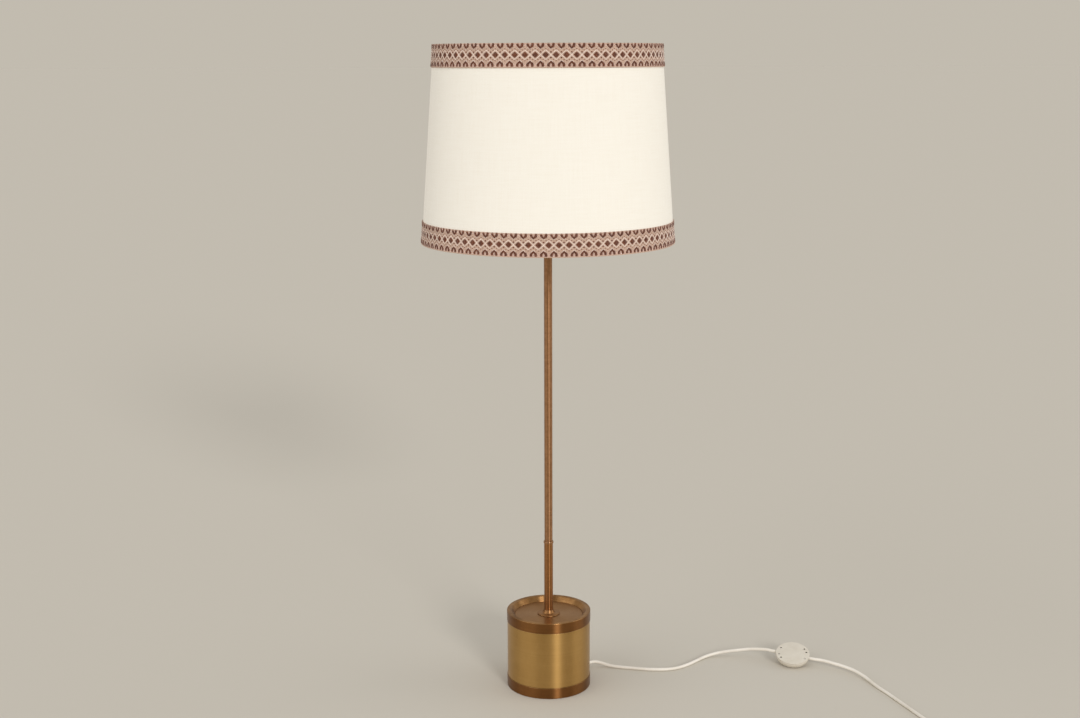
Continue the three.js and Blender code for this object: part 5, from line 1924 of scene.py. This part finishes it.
@dataclass
class BraidMotif:
    """One repeat of the braid: X along the ribbon, Y up from the pattern's middle, Z out of the cloth.

    A row of a figure is its height and its reach to both sides, an arch's also where it starts. A speck's
    column is a share of the repeat. A yarn is its width and its share of the full rise.
    """

    pitch: float
    row: float = 1.15
    rise: float = 0.75
    fullness: float = 1.12
    arch: tuple[Triple, ...] = (
        (18.4, 2.0, 5.8), (17.25, 2.0, 6.1), (16.1, 2.0, 6.2), (14.95, 1.6, 6.2), (13.8, 0.7, 5.9),
        (12.65, -0.1, 5.0), (11.5, -0.1, 3.5), (10.35, -0.1, 1.8),
    )
    diamond: Profile = ((0.575, 5.0), (1.725, 3.9), (2.875, 2.8), (4.0, 1.6))
    dots: Profile = ((4.0, 1.3), (5.0, 1.3))
    specks: tuple[Triple, ...] = ((0.0, 9.6, 1.4), (0.25, 7.6, 1.1), (-0.25, 7.6, 1.1))
    speck_rise: float = 0.8
    filling: Profile = ((18.4, 1.7), (17.25, 1.7), (16.1, 1.5), (15.0, 0.8))
    filling_rise: float = 0.6
    lattice_tip: Pair = (0.2, 7.6)
    lattice_side: float = 0.3
    lattice_yarn: Pair = (1.7, 0.8)
    brace_foot: Pair = (0.4, 8.6)
    brace_head: Pair = (1.4, 15.6)
    brace_yarn: Pair = (1.3, 0.7)
    crossing: Pair = (7.5, 1.2)
    knot: float = 1.6
    knot_rise: float = 0.9
    tuck: float = 0.5
    tuck_share: float = 0.3

    def _float(self, shape: bmesh.types.BMesh, yarn: YarnFloat) -> None:
        """Adds one float of yarn: a long low loaf between two points.

        Args:
            shape: the mesh that gets it.
            yarn: its start and end, its width and its rise.
        """
        start, end, width, rise = yarn
        a, b = np.array(start, float), np.array(end, float)
        length = np.linalg.norm(b - a)
        along = (b - a) / length
        aside = np.array((-along[1], along[0])) * width / 2
        tuck = along * min(self.tuck, self.tuck_share * length)
        foot = [a - aside, b - aside, b + aside, a + aside]
        low = [shape.verts.new((x * MM, y * MM, 0)) for x, y in foot]
        high = [shape.verts.new((x * MM, y * MM, rise * MM)) for x, y in (a + tuck, b - tuck)]
        for face in (
            (low[3], low[2], low[1], low[0]), (low[0], low[1], high[1], high[0]), (low[1], low[2], high[1]),
            (low[2], low[3], high[0], high[1]), (low[3], low[0], high[0]),
        ):
            shape.faces.new(face)

    def _mesh(self, name: str, floats: Sequence[YarnFloat]) -> Mesh:
        """Gathers floats of yarn in one mesh.

        Args:
            name: the mesh's name.
            floats: the floats.

        Returns:
            The mesh.
        """
        shape = bmesh.new()
        for yarn in floats:
            self._float(shape, yarn)
        mesh = bpy.data.meshes.new(name)
        shape.to_mesh(mesh)
        shape.free()
        mesh.shade_smooth()
        return mesh

    def _level(
        self, column: float, height: float, reach: float, width: float, rise: float = 1.0
    ) -> YarnFloat:
        """A float along the ribbon that reaches as far to both sides of a column."""
        return (column - reach, height), (column + reach, height), width, rise * self.rise

    def dark(self) -> Mesh:
        """Makes the maroon yarn: a diamond, dots beside it, and an arch above and below.

        Returns:
            The mesh.
        """
        floats = []
        half, wide = self.pitch / 2, self.row * self.fullness
        for side in (1, -1):
            for height, inner, outer in self.arch:
                for hand in (1, -1):
                    ends = (half + hand * inner, side * height), (half + hand * outer, side * height)
                    floats.append((*sorted(ends), wide, self.rise))
            floats += [self._level(0.0, side * height, reach, wide) for height, reach in self.diamond]
            floats += [self._level(half, side * height, reach, wide) for height, reach in self.dots]
            floats += [
                self._level(column * self.pitch, side * height, reach, self.row, self.speck_rise)
                for column, height, reach in self.specks
            ]
        return self._mesh("braid_dark", floats)

    def cream(self) -> Mesh:
        """Makes the cream yarn: a lattice round the diamonds, and another along the arches.

        Returns:
            The mesh.
        """
        half, (height, reach) = self.pitch / 2, self.crossing
        lattice = self.lattice_tip, (half, self.lattice_side), *self.lattice_yarn
        brace = (half - self.brace_foot[0], self.brace_foot[1]), self.brace_head, *self.brace_yarn
        floats = []
        for side in (1, -1):
            for hand in (1, -1):
                for start, end, width, rise in (lattice, brace):
                    ends = [(hand * x, side * y) for x, y in (start, end)]
                    floats.append((*ends, width, rise * self.rise))
            floats.append(self._level(0.0, side * height, reach, self.row, self.knot_rise))
        floats.append(self._level(half, 0.0, self.knot, 2 * self.row, self.knot_rise))
        return self._mesh("braid_cream", floats)

    def rose(self) -> Mesh:
        """Makes the rose yarn inside and between the arches.

        Returns:
            The mesh.
        """
        floats = [
            self._level(column, side * height, reach, self.row, self.filling_rise)
            for side in (1, -1)
            for height, reach in self.filling
            for column in (self.pitch / 2, 0.0)
        ]
        return self._mesh("braid_rose", floats)


@dataclass
class ConeShade:
    """The shade: pasted cloth on wire rings, with a woven braid round each edge.

    The arms' ends are given outwards and up, from the fitter's edge and from the lower ring.
    """

    repeater: RoundRepeater
    bottom: float = 841.0
    top: float = 1187.0
    radius_bottom: float = 225.0
    radius_top: float = 200.0
    wall: float = 1.0
    band: float = 39.5
    band_ground: float = 1.0
    band_edge: float = 1.5
    band_repeat: float = 16.9
    band_shift: float = 0.9
    selvedge: Pair = (1.5, 2.0)
    yarn_sink: float = 0.1
    wire: float = 1.8
    wire_gap: float = 0.2
    wire_inset: float = 3.0
    fitter_bottom: float = 935.0
    fitter_thick: float = 3.0
    fitter_bore: float = 20.3
    fitter_radius: float = 27.5
    arms: tuple[float, ...] = (90.0, 210.0, 330.0)
    arm_start: Profile = ((-0.8, 0.0), (12.0, -0.5), (26.0, -7.0))
    arm_end: Profile = ((-26.0, 8.0), (-12.0, 1.0), (0.8, 0.0))
    seam_azimuth: float = 90.0
    seam_width: float = 11.0
    seam_tuck: float = 2.0
    seam_lift: float = 0.3
    seam_sink: float = 0.35
    facets: int = 288

    def _radius(self, height: float) -> float:
        """The cover's outer radius at a height."""
        share = (height - self.bottom) / (self.top - self.bottom)
        return self.radius_bottom + (self.radius_top - self.radius_bottom) * share

    def _cover(self) -> Mesh:
        """Makes the cover, cloth outside and film inside.

        Returns:
            The mesh.
        """
        low, high = self._radius(self.bottom), self._radius(self.top)
        middle = (self.bottom + self.top) / 2
        profile = [
            (low - self.wall, self.bottom), (low, self.bottom), (self._radius(middle), middle),
            (high, self.top), (high - self.wall, self.top),
        ]
        mesh = turned("shade_cover", profile, self.facets, ease=0.3)
        mesh.materials.append(SHADE_COTTON.material())
        mesh.materials.append(SHADE_FILM.material())
        for face in mesh.polygons:
            face.material_index = int(face.normal.xy.dot(face.center.xy) < 0)
        return mesh

    def _seam(self) -> Mesh:
        """Makes the lapped seam down the back, between the bands.

        Returns:
            The mesh.
        """
        wide, under = self.seam_width / 2, self.band - self.seam_tuck
        lift, sink = self.seam_lift, self.seam_sink
        heights = np.linspace(self.bottom + under, self.top - under, 12)
        path = [ring_point(self._radius(z) + lift, self.seam_azimuth, z) for z in heights]
        section = [(-wide, -sink), (wide, -sink), (wide, lift), (-wide, lift)]
        outward = ring_point(1, self.seam_azimuth, 0)
        return swept("shade_seam", np.array(path), eased(section, 0.3, closed=True, steps=3), up=outward)

    def _ribbon(self, low: float) -> Mesh:
        """Makes the braid's ground with its thicker selvedges.

        Args:
            low: height of the band's lower edge.

        Returns:
            The mesh.
        """

        def at(height: float, thick: float) -> Pair:
            """A point this far out of the cover."""
            return self._radius(height) + FIT + thick, height

        high, ground, edge = low + self.band, self.band_ground, self.band_edge
        thick, thin = self.selvedge
        profile = [
            at(low, 0), at(low, edge), at(low + thick, edge), at(low + thin, ground), at(high - thin, ground),
            at(high - thick, edge), at(high, edge), at(high, 0),
        ]
        return turned("trim_band", profile, self.facets, ease=0.5)

    def _band(self, name: str, node: str, low: float) -> None:
        """Builds one braid: the ribbon and its raised yarns.

        Args:
            name: the piece's name.
            node: the solid that it stands for.
            low: height of the band's lower edge.
        """
        ribbon = add_piece(name, self._ribbon(low), BRAID_GROUND, Body.SHADE, [node])
        middle = low + self.band / 2 + self.band_shift
        radius = self._radius(middle) + FIT + self.band_ground
        repeats = round(math.tau * radius / self.band_repeat)
        motif = BraidMotif(math.tau * radius / repeats)
        lean = math.atan2(self.radius_bottom - self.radius_top, self.top - self.bottom)
        root = radius - self.yarn_sink
        for kind, shape, finish in (
            ("dark", motif.dark(), BRAID_DARK),
            ("cream", motif.cream(), BRAID_CREAM),
            ("rose", motif.rose(), BRAID_PINK),
        ):
            mesh = self.repeater.run(f"{name}_{kind}", shape, repeats, root, middle, lean, finish)
            add_piece(f"{name}_{kind}_yarn", mesh, finish, Body.SHADE)

    def _wire_radius(self, height: float) -> float:
        """The radius of a wire ring at its middle."""
        return self._radius(height) - self.wall - FIT - self.wire - self.wire_gap

    def _wire_ring(self, height: float) -> Mesh:
        """A ring of wire just inside the cover."""
        section = [(self._wire_radius(height) + x, height + z) for x, z in circle(self.wire, 16)]
        return turned("wire_ring", section, self.facets, ease=0.0)

    def _arm(self, azimuth: float) -> Mesh:
        """Makes a wire arm, level at the fitter and then down to the lower ring, welded at both ends.

        Args:
            azimuth: where it goes, in degrees.

        Returns:
            The mesh.
        """
        level, ring = self.fitter_bottom + self.fitter_thick / 2, self.bottom + self.wire_inset
        start, end = self.fitter_radius, self._wire_radius(ring) - self.wire - FIT
        route = [(start + out, level + up) for out, up in self.arm_start]
        route += [(end + out, ring + up) for out, up in self.arm_end]
        path = smooth_line([ring_point(r, azimuth, z) for r, z in route], 3.0)
        return swept("spider_arm", path, circle(self.wire, 14))

    def build(self) -> None:
        """Builds the shade."""
        cover = add_piece("shade_cover_pasted", self._cover(), SHADE_COTTON, Body.SHADE, ["shade_cover"])
        seam = add_piece("shade_seam_lapped", self._seam(), SHADE_COTTON, Body.SHADE)
        self._declare(cover, seam)
        self._band("braid_top", "trim_band_top", self.top - self.band)
        self._band("braid_bottom", "trim_band_bottom", self.bottom)
        for name, height in (("top", self.top - self.wire_inset), ("bottom", self.bottom + self.wire_inset)):
            ring = self._wire_ring(height)
            add_piece(f"wire_ring_{name}", ring, COATED_WIRE, Body.SHADE, [f"{name}_wire_ring"])
        low, high = self.fitter_bottom, self.fitter_bottom + self.fitter_thick
        fitter = pipe("fitter_ring", self.fitter_bore, self.fitter_radius, low, high, facets=96, ease=0.7)
        add_piece("fitter_ring_coated", fitter, COATED_WIRE, Body.SHADE, ["fitter_ring"])
        for number, azimuth in enumerate(self.arms, start=1):
            arm = self._arm(azimuth)
            add_piece(f"arm_{number}_welded", arm, COATED_WIRE, Body.SHADE, [f"spider_arm_{number}"])

    def _declare(self, cover: Object, seam: Object) -> None:
        """The cloth's cut is a sector of a ring; this takes the cover and its seam and does nothing with
        them.

        Args:
            cover: the cover; not used.
            seam: its lapped seam; not used.
        """


def main() -> None:
    """Builds the lamp."""
    logging.basicConfig(level=logging.INFO, format="%(message)s")
    Studio().build()
    repeater = RoundRepeater()
    MainsCord(FootSwitch()).build()
    BaseDrum().build()
    TelescopicStem().build()
    LampHolder(repeater).build()
    ConeShade(repeater).build()


if __name__ == "__main__":
    main()
